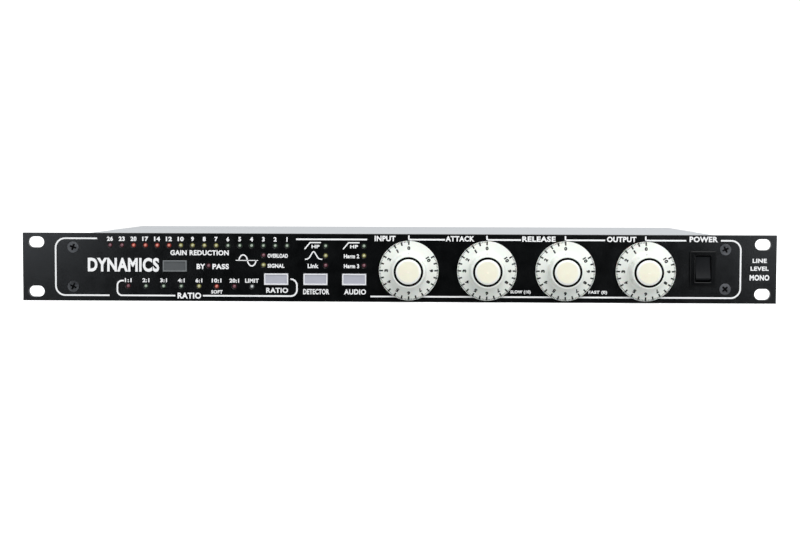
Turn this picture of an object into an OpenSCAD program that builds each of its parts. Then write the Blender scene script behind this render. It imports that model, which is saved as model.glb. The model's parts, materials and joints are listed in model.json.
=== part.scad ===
// One-unit, 19-inch rack compressor.
// Millimetres. X runs to the right seen from the front, Y to the back and Z up.
// Origin: centre of the rack slot pattern, on the rear face of the front panel.

/* [Front panel] */
// Width of the front panel
panel_w = 482.6; // [480:0.1:484]
// Height of the front panel, one rack unit
panel_h = 43.66; // [43.2:0.02:44.3]
// Thickness of the front panel
panel_t = 3.2; // [2.6:0.1:4]
// Distance between the left and right rack slots
slot_spacing_x = 465.1; // [464:0.1:466]
// Distance between the upper and lower rack slots
slot_spacing_z = 31.75; // [31.5:0.05:32]
// Length of a rack slot, end to end
slot_length = 10.2; // [8:0.1:12]
// Width of a rack slot
slot_w = 7; // [6.6:0.1:7.4]
// Sideways place of the countersunk screws
panel_screw_x = 208.8; // [207.5:0.1:210]
// Height of the countersunk panel screws above and below the middle
panel_screw_z = 12.65; // [11:0.05:13.5]

/* [Chassis] */
// Outer width of the chassis
chassis_w = 431.8; // [430:0.1:434]
// Outer height of the chassis
chassis_h = 39; // [38.6:0.1:40]
// Depth of the chassis behind the panel
chassis_d = 263.5; // [262:0.5:275]
// Thickness of the floor, sides and rear panel
sheet_t = 1.5; // [1.4:0.1:1.6]
// Thickness of the top cover
cover_t = 1.2; // [1:0.1:1.4]
// Height of the cover's side lips
cover_lip = 10; // [8:0.5:14]

/* [Knobs] */
// Sideways place of the input knob
input_x = 7; // [5:0.1:9]
// Sideways place of the attack knob
attack_x = 56.9; // [54:0.1:59]
// Sideways place of the release knob
release_x = 106.9; // [104:0.1:109]
// Sideways place of the output knob
output_x = 158; // [155:0.1:160]
// Height of the knobs against the middle of the panel
knob_z = -1.5; // [-2.5:0.1:0]
// Diameter of the numbered skirt
skirt_d = 38; // [34:0.5:40]
// Diameter of the grip at its front
grip_d = 21; // [20.4:0.1:22]
// How far the grip stands out from the panel
knob_depth = 16.4; // [15:0.1:18]
// Outer diameter of the dark ring on the grip
ring_od = 18.7; // [18:0.1:19]
// Diameter of the cap inside the ring
cap_d = 15.8; // [14:0.1:16.5]
// Diameter of the potentiometer shaft
shaft_d = 6; // [5.8:0.05:6.2]

/* [Buttons] */
// Sideways place of the bypass button
bypass_x = -143; // [-146:0.1:-140]
// Height of the bypass button against the middle of the panel
bypass_z = 0.8; // [-1:0.1:2]
// Sideways place of the ratio button
ratio_x = -77.9; // [-79:0.1:-76]
// Sideways place of the detector button
detector_x = -52.7; // [-54:0.1:-51]
// Sideways place of the audio button
audio_x = -27.9; // [-29:0.1:-26]
// Height of the three pale buttons against the middle of the panel
button_z = -7.4; // [-8.2:0.1:-6.5]
// Width of a button
button_w = 15.4; // [14:0.1:16]
// Height of a button
button_h = 7.3; // [6.5:0.1:8]
// How far a button stands out from the panel
button_proud = 2; // [1.8:0.1:3]
// How far a button travels
button_travel = 1.5; // [1:0.1:1.6]

/* [Indicator lamps] */
// Diameter of a lamp
lamp_d = 3; // [2.8:0.1:3.1]
// Sideways place of the leftmost gain reduction lamp
gain_lamp_x = -184.9; // [-186:0.1:-184]
// Distance between gain reduction lamps
gain_lamp_pitch = 7.59; // [7.4:0.01:7.7]
// Height of the gain reduction lamps against the middle of the panel
gain_lamp_z = 14; // [13:0.1:14.5]
// Sideways place of the leftmost ratio lamp
ratio_lamp_x = -173.3; // [-174:0.1:-172]
// Distance between ratio lamps
ratio_lamp_pitch = 11.39; // [11:0.01:11.5]
// Height of the ratio lamps against the middle of the panel
ratio_lamp_z = -12.2; // [-13:0.1:-11.5]
// Sideways place of the bypass lamp
bypass_lamp_x = -121.5; // [-124:0.1:-119]
// Sideways place of the two level lamps
level_lamp_x = -86.2; // [-87:0.1:-85]
// Height of the upper level lamp against the middle of the panel
level_lamp_z = 7.9; // [7:0.1:8.5]
// Sideways place of the detector lamps
detector_lamp_x = -46.3; // [-47:0.1:-45]
// Sideways place of the audio lamps
audio_lamp_x = -21.7; // [-22.5:0.1:-21]
// Distance between the lamps of a column
column_pitch = 6.25; // [6:0.05:6.5]

/* [Power switch] */
// Sideways place of the power switch
power_x = 194.4; // [192:0.1:195]
// Height of the power switch against the middle of the panel
power_z = 0.4; // [-1:0.1:1]
// Width of the switch's bezel
bezel_w = 16.6; // [16:0.1:18]
// Height of the switch's bezel
bezel_h = 22.4; // [20.2:0.1:23]
// Width of the rocker
rocker_w = 9.4; // [9:0.1:10]
// Radius of the rocker's curved ends, about its pivot
rocker_r = 8.2; // [8:0.1:8.5]
// Angle between the rocker's two positions
rocker_throw = 20; // [12:1:20]

/* [Rear connectors] */
// Height of all rear connectors against the middle of the panel
socket_z = -0.6; // [-0.8:0.1:0]
// Sideways place of the mains inlet
inlet_x = 178; // [174:0.5:182]
// Sideways place of the output connector
xlr_out_x = -62; // [-66:0.5:-58]
// Sideways place of the input connector
xlr_in_x = -140; // [-144:0.5:-136]
// Sideways place of the first quarter-inch socket
jack_x = -172; // [-173:0.5:-171]
// Diameter of the quarter-inch socket's bore
jack_bore_d = 6.5; // [6.4:0.05:6.6]
// Depth of the quarter-inch socket's bore
jack_bore_l = 31; // [30.5:0.5:31.5]

/* [Hidden] */
$fn = 64;
eps = 1;

panel_front = -panel_t;
half_h = chassis_h / 2;
floor_top = sheet_t - half_h;
cover_bottom = half_h - cover_t;
side_outer = chassis_w / 2 - cover_t;
side_inner = side_outer - sheet_t;
flange_w = 12;
rear_inner = chassis_d - sheet_t;

knob_xs = [input_x, attack_x, release_x, output_x];
pale_button_xs = [ratio_x, detector_x, audio_x];
button_places = concat(
  [[bypass_x, bypass_z]],
  [for (x = pale_button_xs) [x, button_z]]
);

// Lamp places, by colour
function gain_lamps(first, last) =
  [for (i = [first:last]) [gain_lamp_x + i * gain_lamp_pitch, gain_lamp_z]];
function ratio_lamps(first, last) =
  [for (i = [first:last]) [ratio_lamp_x + i * ratio_lamp_pitch, ratio_lamp_z]];
function column_lamps(row) =
  [for (x = [detector_lamp_x, audio_lamp_x]) [x, gain_lamp_z - row * column_pitch]];
bypass_lamp = [bypass_lamp_x, bypass_z + 0.2];
upper_level_lamp = [level_lamp_x, level_lamp_z];
lower_level_lamp = [level_lamp_x, level_lamp_z - column_pitch];
dim_red_places = concat(
  gain_lamps(0, 1), ratio_lamps(0, 0), ratio_lamps(6, 6),
  [bypass_lamp, upper_level_lamp], column_lamps(2)
);
lit_red_places = concat(gain_lamps(2, 5), ratio_lamps(5, 5));
yellow_places = concat(gain_lamps(6, 9), ratio_lamps(4, 4), [lower_level_lamp], column_lamps(1));
green_places = concat(gain_lamps(10, 15), ratio_lamps(1, 3), column_lamps(0));
clear_places = ratio_lamps(7, 7);
lamp_places = concat(dim_red_places, lit_red_places, yellow_places, green_places, clear_places);
lamp_hole_d = lamp_d + 0.2;
lamp_proud = 0.6;
lamp_flange_d = 3.8;

// M3 pan head screw
screw_d = 2.9;
screw_hole_d = 3.2;
screw_l = 6;
screw_head_d = 5.5;
screw_head_h = 2;
thread_hole_d = 3;

// Countersunk screw of the panel and the floor
flat_screw_d = 4;
flat_screw_hole_d = 4.3;
flat_head_d = 7.3;
flat_head_h = 1.7;
flat_screw_l = 9;

// Cross recess: depth, arm's width as a share of its length, and its length in each kind of screw
recess_depth = 1.2;
recess_arm = 0.28;
screw_recess_w = 3;
flat_recess_w = 4.4;

// How far the panel screws were turned home: [low, high] on the left, then on the right
panel_screw_turns = [[-24, -20], [44, 26]];

// Screw places on the side brackets' flanges
flange_hole_d = 4.6;
flange_screw_x = side_inner - flange_w / 2;
cover_screw_ys = [40, chassis_d / 2, chassis_d - 40];
cover_screw_z = half_h - 6.5;
floor_screw_ys = [30, chassis_d / 2, chassis_d - 30];
rear_screw_z = 10;

// Boards
board_t = 1.6;
spacer_h = 6;
board_bottom = floor_top + spacer_h;
board_top = board_bottom + board_t;
board_x0 = -200;
board_x1 = 72;
board_y0 = 28;
board_y1 = 228;
spacer_inset = 8;
spacer_places = [
  for (x = [board_x0 + spacer_inset, (board_x0 + board_x1) / 2, board_x1 - spacer_inset])
    for (y = [board_y0 + spacer_inset, board_y1 - spacer_inset]) [x, y]
];
spacer_stub_d = 4.2;
control_y = 11.5;
control_x0 = -196;
control_x1 = 176;
control_z0 = -16;
control_z1 = 16.5;

// Flat cable and its header
ribbon_w = 46;
ribbon_t = 0.9;
ribbon_x = -110;
ribbon_bend = 4;
ribbon_rise = 3;
header_y = 40;
header_l = 6;
header_h = 5;

// Mains wires
wire_d = 2.4;
wire_bend = 5;
wire_z = socket_z + 2.4;
wire_spread = 4;
wire_from = 7;
wire_step = 8;

// Transformer
transformer_x = 118;
transformer_y = 165;
transformer_d = 72;
transformer_hole_d = 22;
transformer_h = 30;
transformer_round = 7;
plate_t = 1.5;
transformer_bolt_d = 5;
transformer_bolt_head_d = 11;
transformer_nut_d = 9.2;
transformer_nut_h = 2.7;
transformer_bolt_end = 3.4;

// Heat sink and regulators
sink_x = 44;
sink_y = 120;
sink_l = 78;
sink_base_t = 3;
sink_h = 21;
sink_fins = 5;
sink_fin_t = 1.5;
sink_fin_l = 10;
sink_fin_pitch = (sink_h - sink_fin_t) / (sink_fins - 1);
regulator_start = 15;
regulator_pitch = 24;
regulator_w = 10;
regulator_t = 4.5;
regulator_h = 9;
regulator_tab_t = 1.3;
regulator_tab_h = 6;
regulator_lead_l = 5;

// Large capacitors in one row; small ones, chips and relays on a grid
large_can_x = 18;
large_can_y = 112;
large_can_pitch = 22;
large_can_d = 16;
large_can_h = 24;
small_can_y = 96;
small_can_d = 6.3;
small_can_h = 11;
can_shoulder = 0.8;
grid_x = -186;
grid_columns = 7;
grid_pitch_x = 26;
grid_pitch_y = 44;
chip_offset_x = 13;
chip_y = 74;
chip_l = 9.6;
chip_w = 6.4;
chip_h = 3.3;
chip_lift = 0.6;
lead_pitch = 2.54;
relay_x = -150;
relay_y = 212;
relay_pitch = 40;
relay_size = [20, 10, 12];

// Potentiometers and their knobs
pot_d = 16.5;
pot_y0 = 0.6;
pot_y1 = 8.6;
bushing_d = 7;
bushing_front = -7.6;
shaft_clearance = 0.05;
wiper_d = 12;
pot_wall = 1.4;
pot_leg_pitch = 5;
skirt_gap = 0.7;
skirt_edge = 1.2;
skirt_slope = 0.8;
flare = 1.8;
grip_base_r = grip_d / 2 + 0.9;
grip_chamfer = 0.6;
flute_r = 1.2;
pocket_depth = 2;
ring_inset = 0.1;
cap_edge = 0.3;
cap_crown = 1.1;
nut_recess_d = 15;

// Buttons and the key switches behind them
button_clearance = 0.25;
button_dish = 0.5;
button_rim = 0.9;
button_back = 3.6;
button_flange = 1.2;
plunger_d = 3.4;
key_front = 7.5;
key_w = 6.4;
key_floor = control_y - 0.4;
plunger_end = key_floor - button_travel - 0.3;

// Rocker
rocker_pivot_y = -0.5;
rocker_reach = 4.6;
rocker_dish_r = 30;
rocker_gap = 0.25;
rocker_pin_d = 2.5;
bezel_t = 1.5;
switch_w = 13;
switch_h = 18.6;
switch_back = 19;
switch_tab_l = 7;

// Rear connectors
inlet_w = 27.6;
inlet_h = 30;
inlet_flange_w = 48;
inlet_flange_h = 32;
inlet_back = chassis_d - 24;
inlet_front = chassis_d + 3;
inlet_screw_pitch = 40;
inlet_socket_w = 24.4;
inlet_socket_z0 = socket_z - 3;
inlet_socket_z1 = socket_z + 13.6;
inlet_socket_floor = chassis_d - 11.5;
inlet_chamfer = 4.5;
inlet_pin_w = 2;
inlet_pin_h = 4;
inlet_pin_places = [[-7, socket_z + 3.6], [7, socket_z + 3.6], [0, socket_z + 7.6]];
inlet_tab_l = 9;
drawer_w = 22.8;
drawer_h = 6.8;
drawer_gap = 0.3;
drawer_z = socket_z - 9.6;
drawer_back = chassis_d - 20;
fuse_d = 5;
fuse_l = 20;
xlr_flange_w = 26;
xlr_flange_h = 31;
xlr_flange_t = 2;
xlr_body_d = 23.6;
xlr_back = chassis_d - 20;
xlr_front = chassis_d + xlr_flange_t;
xlr_cup_d = 19.2;
xlr_cup_floor = chassis_d - 11.5;
xlr_insert_d = 15.4;
xlr_pin_circle_r = 5.35;
xlr_pin_d = 2.4;
xlr_contact_d = 2.8;
xlr_screw_x = 9.5;
xlr_screw_z = 12;
latch_w = 7.4;
latch_h = 3;
latch_z = socket_z + 13;
latch_gap = 0.3;
jack_xs = [jack_x, -108, -30, -6];
jack_body_w = 15;
jack_back = chassis_d - 27.5;
jack_front = chassis_d + 5;
jack_bushing_d = 9.4;

// ---------- shared shapes ----------

// Straight rod along Y
module rod(x, z, y0, y1, d) {
  translate([x, y0, z]) rotate([-90, 0, 0]) cylinder(d = d, h = y1 - y0);
}

// Box given by its limits
module block(x0, x1, y0, y1, z0, z1) {
  translate([x0, y0, z0]) cube([x1 - x0, y1 - y0, z1 - z0]);
}

// Box centred sideways and in height
module plug(x, z, y0, y1, w, h) {
  block(x - w / 2, x + w / 2, y0, y1, z - h / 2, z + h / 2);
}

// Plate standing across Y, with round corners
module round_plate(x, z, y0, y1, w, h, r) {
  plug(x, z, y0, y1, w - 2 * r, h);
  plug(x, z, y0, y1, w, h - 2 * r);
  for (sx = [-1, 1])
    for (sz = [-1, 1])
      rod(x + sx * (w / 2 - r), z + sz * (h / 2 - r), y0, y1, 2 * r);
}

// Profile of [radius, y] points turned about an axis along Y
module turned(x, z, points) {
  translate([x, 0, z]) rotate([-90, 0, 0]) rotate_extrude() polygon(points);
}

// Cross recess for a driver, cut down from z = 0
module cross_recess(size) {
  arm = recess_arm * size;
  for (a = [0, 90])
    rotate([0, 0, a]) translate([-size / 2, -arm / 2, -recess_depth])
      cube([size, arm, recess_depth + eps]);
}

// Pan head screw: head's underside at z = 0, shank down
module pan_screw() {
  difference() {
    union() {
      cylinder(d = screw_head_d, h = screw_head_h * 0.6);
      translate([0, 0, screw_head_h * 0.6])
        cylinder(d1 = screw_head_d, d2 = screw_head_d * 0.7, h = screw_head_h * 0.4);
      translate([0, 0, -screw_l]) cylinder(d = screw_d, h = screw_l + 0.5);
    }
    translate([0, 0, screw_head_h]) cross_recess(screw_recess_w);
  }
}

// ---------- panel and chassis ----------

module rack_slot(x, z) {
  reach = (slot_length - slot_w) / 2;
  plug(x, z, panel_front - eps, eps, 2 * reach, slot_w);
  for (s = [-1, 1])
    rod(x + s * reach, z, panel_front - eps, eps, slot_w);
}

// Countersunk hole going up from its wide mouth at z = 0
module countersink(depth) {
  translate([0, 0, -eps]) cylinder(d = flat_screw_hole_d, h = depth + 2 * eps);
  cylinder(d1 = flat_head_d + 0.3, d2 = flat_screw_hole_d, h = flat_head_h);
}

module front_panel() {
  color([0.09, 0.095, 0.105])
  difference() {
    block(-panel_w / 2, panel_w / 2, panel_front, 0, -panel_h / 2, panel_h / 2);
    for (sx = [-1, 1])
      for (sz = [-1, 1]) {
        rack_slot(sx * slot_spacing_x / 2, sz * slot_spacing_z / 2);
        translate([sx * panel_screw_x, panel_front, sz * panel_screw_z])
          rotate([-90, 0, 0]) countersink(panel_t);
      }
    for (p = lamp_places)
      rod(p[0], p[1], panel_front - eps, eps, lamp_hole_d);
    for (p = button_places)
      plug(p[0], p[1], panel_front - eps, eps, button_w + 2 * button_clearance,
           button_h + 2 * button_clearance);
    for (x = knob_xs)
      rod(x, knob_z, panel_front - eps, eps, bushing_d + 0.3);
    plug(power_x, power_z, panel_front - eps, eps, switch_w + 0.4, switch_h + 0.4);
  }
}

// Countersunk screw: head's top at z = 0, shank down
module flat_screw() {
  difference() {
    union() {
      translate([0, 0, -flat_head_h]) cylinder(d1 = flat_screw_d, d2 = flat_head_d, h = flat_head_h);
      translate([0, 0, -flat_screw_l]) cylinder(d = flat_screw_d, h = flat_screw_l - flat_head_h);
    }
    cross_recess(flat_recess_w);
  }
}

// Four in the front panel and six in the floor
module flat_head_screws() {
  color([0.16, 0.165, 0.175])
  for (i = [0, 1]) {
    s = 2 * i - 1;
    for (j = [0, 1])
      translate([s * panel_screw_x, panel_front, (2 * j - 1) * panel_screw_z])
        rotate([90, 0, 0]) rotate([0, 0, panel_screw_turns[i][j]]) flat_screw();
    for (y = floor_screw_ys)
      translate([s * flange_screw_x, y, -half_h]) rotate([180, 0, 0]) flat_screw();
  }
}

// Side bracket: a web with flanges on all four edges; s is -1 on the left and 1 on the right
module side_bracket(s) {
  difference() {
    scale([s, 1, 1]) side_shape();
    for (sz = [-1, 1])
      rod(s * panel_screw_x, sz * panel_screw_z, -eps, sheet_t + eps, flange_hole_d);
    for (sz = [-1, 1])
      rod(s * flange_screw_x, sz * rear_screw_z, rear_inner - sheet_t - eps, rear_inner + eps, thread_hole_d);
    for (y = cover_screw_ys)
      translate([s * (side_inner - eps), y, cover_screw_z])
        rotate([0, s * 90, 0]) cylinder(d = thread_hole_d, h = sheet_t + 2 * eps);
    for (y = floor_screw_ys)
      translate([s * flange_screw_x, y, floor_top - eps]) cylinder(d = flange_hole_d, h = sheet_t + 2 * eps);
  }
}

module side_shape() {
  block(side_inner, side_outer, 0, rear_inner, floor_top, cover_bottom);
  block(side_inner - flange_w, side_inner, 0, sheet_t, floor_top, cover_bottom);
  block(side_inner - flange_w, side_inner, rear_inner - sheet_t, rear_inner, floor_top, cover_bottom);
  block(side_inner - flange_w, side_inner, 0, rear_inner, floor_top, floor_top + sheet_t);
  block(side_inner - flange_w, side_inner, 0, rear_inner, cover_bottom - sheet_t, cover_bottom);
}

module left_side() {
  color([0.75, 0.76, 0.78]) side_bracket(-1);
}

module right_side() {
  color([0.75, 0.76, 0.78]) side_bracket(1);
}

module chassis_floor() {
  color([0.75, 0.76, 0.78])
  difference() {
    block(-side_outer, side_outer, 0, chassis_d, -half_h, floor_top);
    for (s = [-1, 1])
      for (y = floor_screw_ys)
        translate([s * flange_screw_x, y, -half_h]) countersink(sheet_t);
    for (p = spacer_places)
      translate([p[0], p[1], -half_h - eps]) cylinder(d = spacer_stub_d, h = sheet_t + 2 * eps);
    translate([transformer_x, transformer_y, -half_h]) {
      cylinder(d1 = transformer_bolt_head_d + 0.3, d2 = transformer_bolt_d + 0.3, h = sheet_t);
      translate([0, 0, -eps]) cylinder(d = transformer_bolt_d + 0.3, h = sheet_t + 2 * eps);
    }
  }
}

module top_cover() {
  color([0.82, 0.83, 0.86])
  difference() {
    union() {
      block(-chassis_w / 2, chassis_w / 2, 0, chassis_d, cover_bottom, half_h);
      for (s = [-1, 1])
        scale([s, 1, 1])
          block(side_outer, chassis_w / 2, 0, chassis_d, half_h - cover_lip, cover_bottom);
    }
    for (s = [-1, 1])
      for (y = cover_screw_ys)
        translate([s * (side_outer - eps), y, cover_screw_z])
          rotate([0, s * 90, 0]) cylinder(d = screw_hole_d, h = cover_t + 2 * eps);
  }
}

module rear_panel() {
  color([0.13, 0.13, 0.14])
  difference() {
    block(-side_outer, side_outer, rear_inner, chassis_d, floor_top, cover_bottom);
    for (s = [-1, 1])
      for (sz = [-1, 1])
        rod(s * flange_screw_x, sz * rear_screw_z, rear_inner - eps, chassis_d + eps, screw_hole_d);
    plug(inlet_x, socket_z, rear_inner - eps, chassis_d + eps, inlet_w + 0.4, inlet_h + 0.4);
    for (s = [-1, 1])
      rod(inlet_x + s * inlet_screw_pitch / 2, socket_z, rear_inner - eps, chassis_d + eps, thread_hole_d);
    for (x = [xlr_in_x, xlr_out_x]) {
      rod(x, socket_z, rear_inner - eps, chassis_d + eps, xlr_body_d + 0.4);
      for (s = [-1, 1])
        rod(x + s * xlr_screw_x, socket_z + s * xlr_screw_z, rear_inner - eps, chassis_d + eps, thread_hole_d);
    }
    plug(xlr_in_x, latch_z - 1, rear_inner - eps, chassis_d + eps, latch_w + 1, latch_h + 3);
    for (x = jack_xs)
      rod(x, socket_z, rear_inner - eps, chassis_d + eps, jack_bushing_d + 0.2);
  }
}

// Every M3 screw: cover, rear panel, connectors and main board
module m3_screws() {
  color([0.12, 0.12, 0.13]) {
    for (s = [-1, 1]) {
      for (y = cover_screw_ys)
        translate([s * chassis_w / 2, y, cover_screw_z]) rotate([0, s * 90, 0]) pan_screw();
      for (sz = [-1, 1])
        translate([s * flange_screw_x, chassis_d, sz * rear_screw_z]) rotate([-90, 0, 0]) pan_screw();
      translate([inlet_x + s * inlet_screw_pitch / 2, inlet_front, socket_z])
        rotate([-90, 0, 0]) pan_screw();
      for (x = [xlr_in_x, xlr_out_x])
        translate([x + s * xlr_screw_x, xlr_front, socket_z + s * xlr_screw_z])
          rotate([-90, 0, 0]) pan_screw();
    }
    for (p = spacer_places)
      translate([p[0], p[1], board_top]) pan_screw();
  }
}

// ---------- boards and supply ----------

module main_board() {
  color([0.05, 0.3, 0.16])
  difference() {
    block(board_x0, board_x1, board_y0, board_y1, board_bottom, board_top);
    for (p = spacer_places)
      translate([p[0], p[1], board_bottom - eps]) cylinder(d = screw_hole_d, h = board_t + 2 * eps);
  }
}

module board_spacers() {
  color([0.8, 0.7, 0.45])
  for (p = spacer_places)
    translate([p[0], p[1], 0])
      difference() {
        union() {
          translate([0, 0, floor_top]) cylinder(d = 6.4, h = spacer_h, $fn = 6);
          translate([0, 0, -half_h]) cylinder(d = spacer_stub_d, h = sheet_t + 0.5);
        }
        translate([0, 0, floor_top + 0.6]) cylinder(d = thread_hole_d, h = spacer_h);
      }
}

// Upright board that carries the lamps, key switches and potentiometers
module control_board() {
  color([0.05, 0.3, 0.16])
  block(control_x0, control_x1, control_y, control_y + board_t, control_z0, control_z1);
}

// Flat cable from the control board, over one bend and down into the main board's header
module ribbon_cable() {
  top = board_top + header_h + ribbon_rise + ribbon_bend;
  start = control_y + board_t;
  color([0.55, 0.56, 0.6])
  translate([ribbon_x - ribbon_w / 2, 0, 0]) {
    translate([0, start, top]) cube([ribbon_w, header_y - start - ribbon_bend, ribbon_t]);
    translate([0, header_y - ribbon_bend, top - ribbon_bend])
      rotate([90, 0, 90])
        rotate_extrude(angle = 90)
          translate([ribbon_bend, 0]) square([ribbon_t, ribbon_w]);
    translate([0, header_y, board_top + header_h])
      cube([ribbon_w, ribbon_t, ribbon_rise]);
    translate([2, header_y - 2.5, board_top]) cube([ribbon_w - 4, header_l, header_h]);
  }
}

// Two insulated wires from the inlet's tabs to the power switch
module mains_wires() {
  back = inlet_back - inlet_tab_l;
  front = switch_back + switch_tab_l;
  color([0.35, 0.2, 0.12])
  for (i = [0, 1]) {
    side = 2 * i - 1;
    x = power_x + side * wire_spread;
    from_x = inlet_x + side * wire_from;
    bend_y = back - wire_step * (i + 1.5);
    rod(x, wire_z, front, bend_y - wire_bend, wire_d);
    translate([x - wire_bend, bend_y - wire_bend, wire_z])
      rotate_extrude(angle = 90) translate([wire_bend, 0]) circle(d = wire_d);
    translate([from_x + wire_bend, bend_y, wire_z])
      rotate([0, 90, 0]) cylinder(d = wire_d, h = x - from_x - 2 * wire_bend);
    translate([from_x + wire_bend, bend_y + wire_bend, wire_z])
      rotate([0, 0, 180]) rotate_extrude(angle = 90) translate([wire_bend, 0]) circle(d = wire_d);
    rod(from_x, wire_z, bend_y + wire_bend, back, wire_d);
  }
}

// Ring-shaped mains transformer with rounded edges
module transformer() {
  inner = transformer_hole_d / 2;
  outer = transformer_d / 2;
  top = floor_top + transformer_h;
  r = transformer_round;
  outline = concat(
    [for (a = [180:15:270]) [inner + r + r * cos(a), floor_top + r + r * sin(a)]],
    [for (a = [270:15:360]) [outer - r + r * cos(a), floor_top + r + r * sin(a)]],
    [for (a = [0:15:90]) [outer - r + r * cos(a), top - r + r * sin(a)]],
    [for (a = [90:15:180]) [inner + r + r * cos(a), top - r + r * sin(a)]]
  );
  color([0.72, 0.6, 0.2])
  translate([transformer_x, transformer_y, 0]) rotate_extrude() polygon(outline);
}

module transformer_plate() {
  color([0.7, 0.72, 0.75])
  translate([transformer_x, transformer_y, floor_top + transformer_h])
    difference() {
      cylinder(d = transformer_d - 14, h = plate_t);
      translate([0, 0, -eps]) cylinder(d = transformer_bolt_d + 0.3, h = plate_t + 2 * eps);
    }
}

// Bolt with a low countersunk head flush with the floor, and its nut
module transformer_bolt() {
  nut_bottom = floor_top + transformer_h + plate_t;
  color([0.7, 0.72, 0.75])
  translate([transformer_x, transformer_y, 0]) {
    translate([0, 0, -half_h])
      cylinder(d1 = transformer_bolt_head_d, d2 = transformer_bolt_d, h = sheet_t);
    translate([0, 0, -half_h])
      cylinder(d = transformer_bolt_d, h = nut_bottom + transformer_bolt_end + half_h);
    translate([0, 0, nut_bottom]) cylinder(d = transformer_nut_d, h = transformer_nut_h, $fn = 6);
  }
}

// Finned heat sink standing on the main board
module heat_sink() {
  color([0.2, 0.2, 0.22]) {
    block(sink_x, sink_x + sink_base_t, sink_y, sink_y + sink_l, board_top, board_top + sink_h);
    for (i = [0:sink_fins - 1])
      translate([sink_x + sink_base_t - 0.5, sink_y, board_top + i * sink_fin_pitch])
        cube([sink_fin_l, sink_l, sink_fin_t]);
  }
}

// Three regulators with their tabs against the heat sink
module regulators() {
  color([0.1, 0.1, 0.11])
  for (i = [0:2])
    translate([sink_x, sink_y + regulator_start + i * regulator_pitch, board_top]) {
      translate([-regulator_t, -regulator_w / 2, regulator_lead_l])
        cube([regulator_t, regulator_w, regulator_h]);
      translate([-regulator_tab_t, -regulator_w / 2, regulator_lead_l + regulator_h])
        cube([regulator_tab_t, regulator_w, regulator_tab_h]);
      for (j = [-1:1])
        translate([-2 * regulator_tab_t, j * lead_pitch - 0.4, 0]) cube([0.6, 0.8, regulator_lead_l + 0.2]);
    }
}

// Can capacitor standing on the main board
module can(x, y, d, h) {
  translate([x, y, board_top]) {
    cylinder(d = d, h = h - can_shoulder);
    translate([0, 0, h - can_shoulder])
      cylinder(d1 = d, d2 = d - 2 * can_shoulder, h = can_shoulder);
  }
}

module capacitors() {
  color([0.1, 0.16, 0.32]) {
    for (i = [0:3])
      can(large_can_x, large_can_y + i * large_can_pitch, large_can_d, large_can_h);
    for (i = [0:grid_columns - 1])
      for (j = [0:2])
        can(grid_x + i * grid_pitch_x, small_can_y + j * grid_pitch_y, small_can_d, small_can_h);
  }
}

// Chip in an eight-pin case
module chip() {
  translate([-chip_l / 2, -chip_w / 2, chip_lift]) cube([chip_l, chip_w, chip_h]);
  for (i = [0:3])
    for (s = [-1, 1])
      translate([(i - 1.5) * lead_pitch - 0.3, s * (chip_w / 2 + 0.3) - 0.35, 0]) cube([0.6, 0.7, 2.2]);
}

module audio_chips() {
  color([0.08, 0.08, 0.09])
  for (i = [0:grid_columns - 1])
    for (j = [0:3])
      translate([grid_x + chip_offset_x + i * grid_pitch_x, chip_y + j * grid_pitch_y, board_top]) chip();
}

module relays() {
  color([0.9, 0.88, 0.8])
  for (i = [0:1])
    translate([relay_x + i * relay_pitch, relay_y, board_top]) cube(relay_size);
}

// ---------- front controls ----------

// One potentiometer case with its bushing, hollow for the wiper
module potentiometer(x) {
  difference() {
    union() {
      rod(x, knob_z, pot_y0, pot_y1, pot_d);
      rod(x, knob_z, bushing_front, pot_y0 + 0.2, bushing_d);
      for (i = [-1:1])
        plug(x + i * pot_leg_pitch, knob_z - pot_d / 2 + 1.75, pot_y1 - 0.5, control_y, 1, 0.8);
    }
    rod(x, knob_z, bushing_front - eps, pot_y0 + 2, shaft_d + 2 * shaft_clearance);
    rod(x, knob_z, pot_y0 + pot_wall, pot_y1 - pot_wall, wiper_d + 1);
  }
}

module potentiometers() {
  color([0.35, 0.36, 0.38])
  for (x = knob_xs)
    potentiometer(x);
}

// Hexagonal nut on a bushing
module hex_nut(x, z, y0, t, across, bore) {
  translate([x, y0, z])
    rotate([-90, 0, 0])
      difference() {
        cylinder(d = across / cos(30), h = t, $fn = 6);
        translate([0, 0, -eps]) cylinder(d = bore, h = t + 2 * eps);
      }
}

module bushing_nuts() {
  color([0.75, 0.76, 0.78]) {
    for (x = knob_xs)
      hex_nut(x, knob_z, panel_front - 2, 2, 10, bushing_d);
    for (x = jack_xs)
      hex_nut(x, socket_z, chassis_d, 2.5, 13.5, jack_bushing_d);
  }
}

// Round lamp in its panel hole, with two leads back to the control board
module lamp(x, z) {
  dome_y = panel_front - lamp_proud + lamp_d / 2;
  rod(x, z, dome_y, 1, lamp_d);
  translate([x, dome_y, z]) sphere(d = lamp_d);
  rod(x, z, 0.3, 1.3, lamp_flange_d);
  for (s = [-1, 1])
    plug(x + s * 0.7, z, 1, control_y, 0.5, 0.5);
}

module lamps(places) {
  for (p = places)
    lamp(p[0], p[1]);
}

module dim_red_lamps() {
  color([0.35, 0.06, 0.07]) lamps(dim_red_places);
}

module lit_red_lamps() {
  color([0.95, 0.12, 0.1]) lamps(lit_red_places);
}

module yellow_lamps() {
  color([0.75, 0.66, 0.3]) lamps(yellow_places);
}

module green_lamps() {
  color([0.35, 0.6, 0.4]) lamps(green_places);
}

module clear_lamp() {
  color([0.85, 0.88, 0.88]) lamps(clear_places);
}

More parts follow.
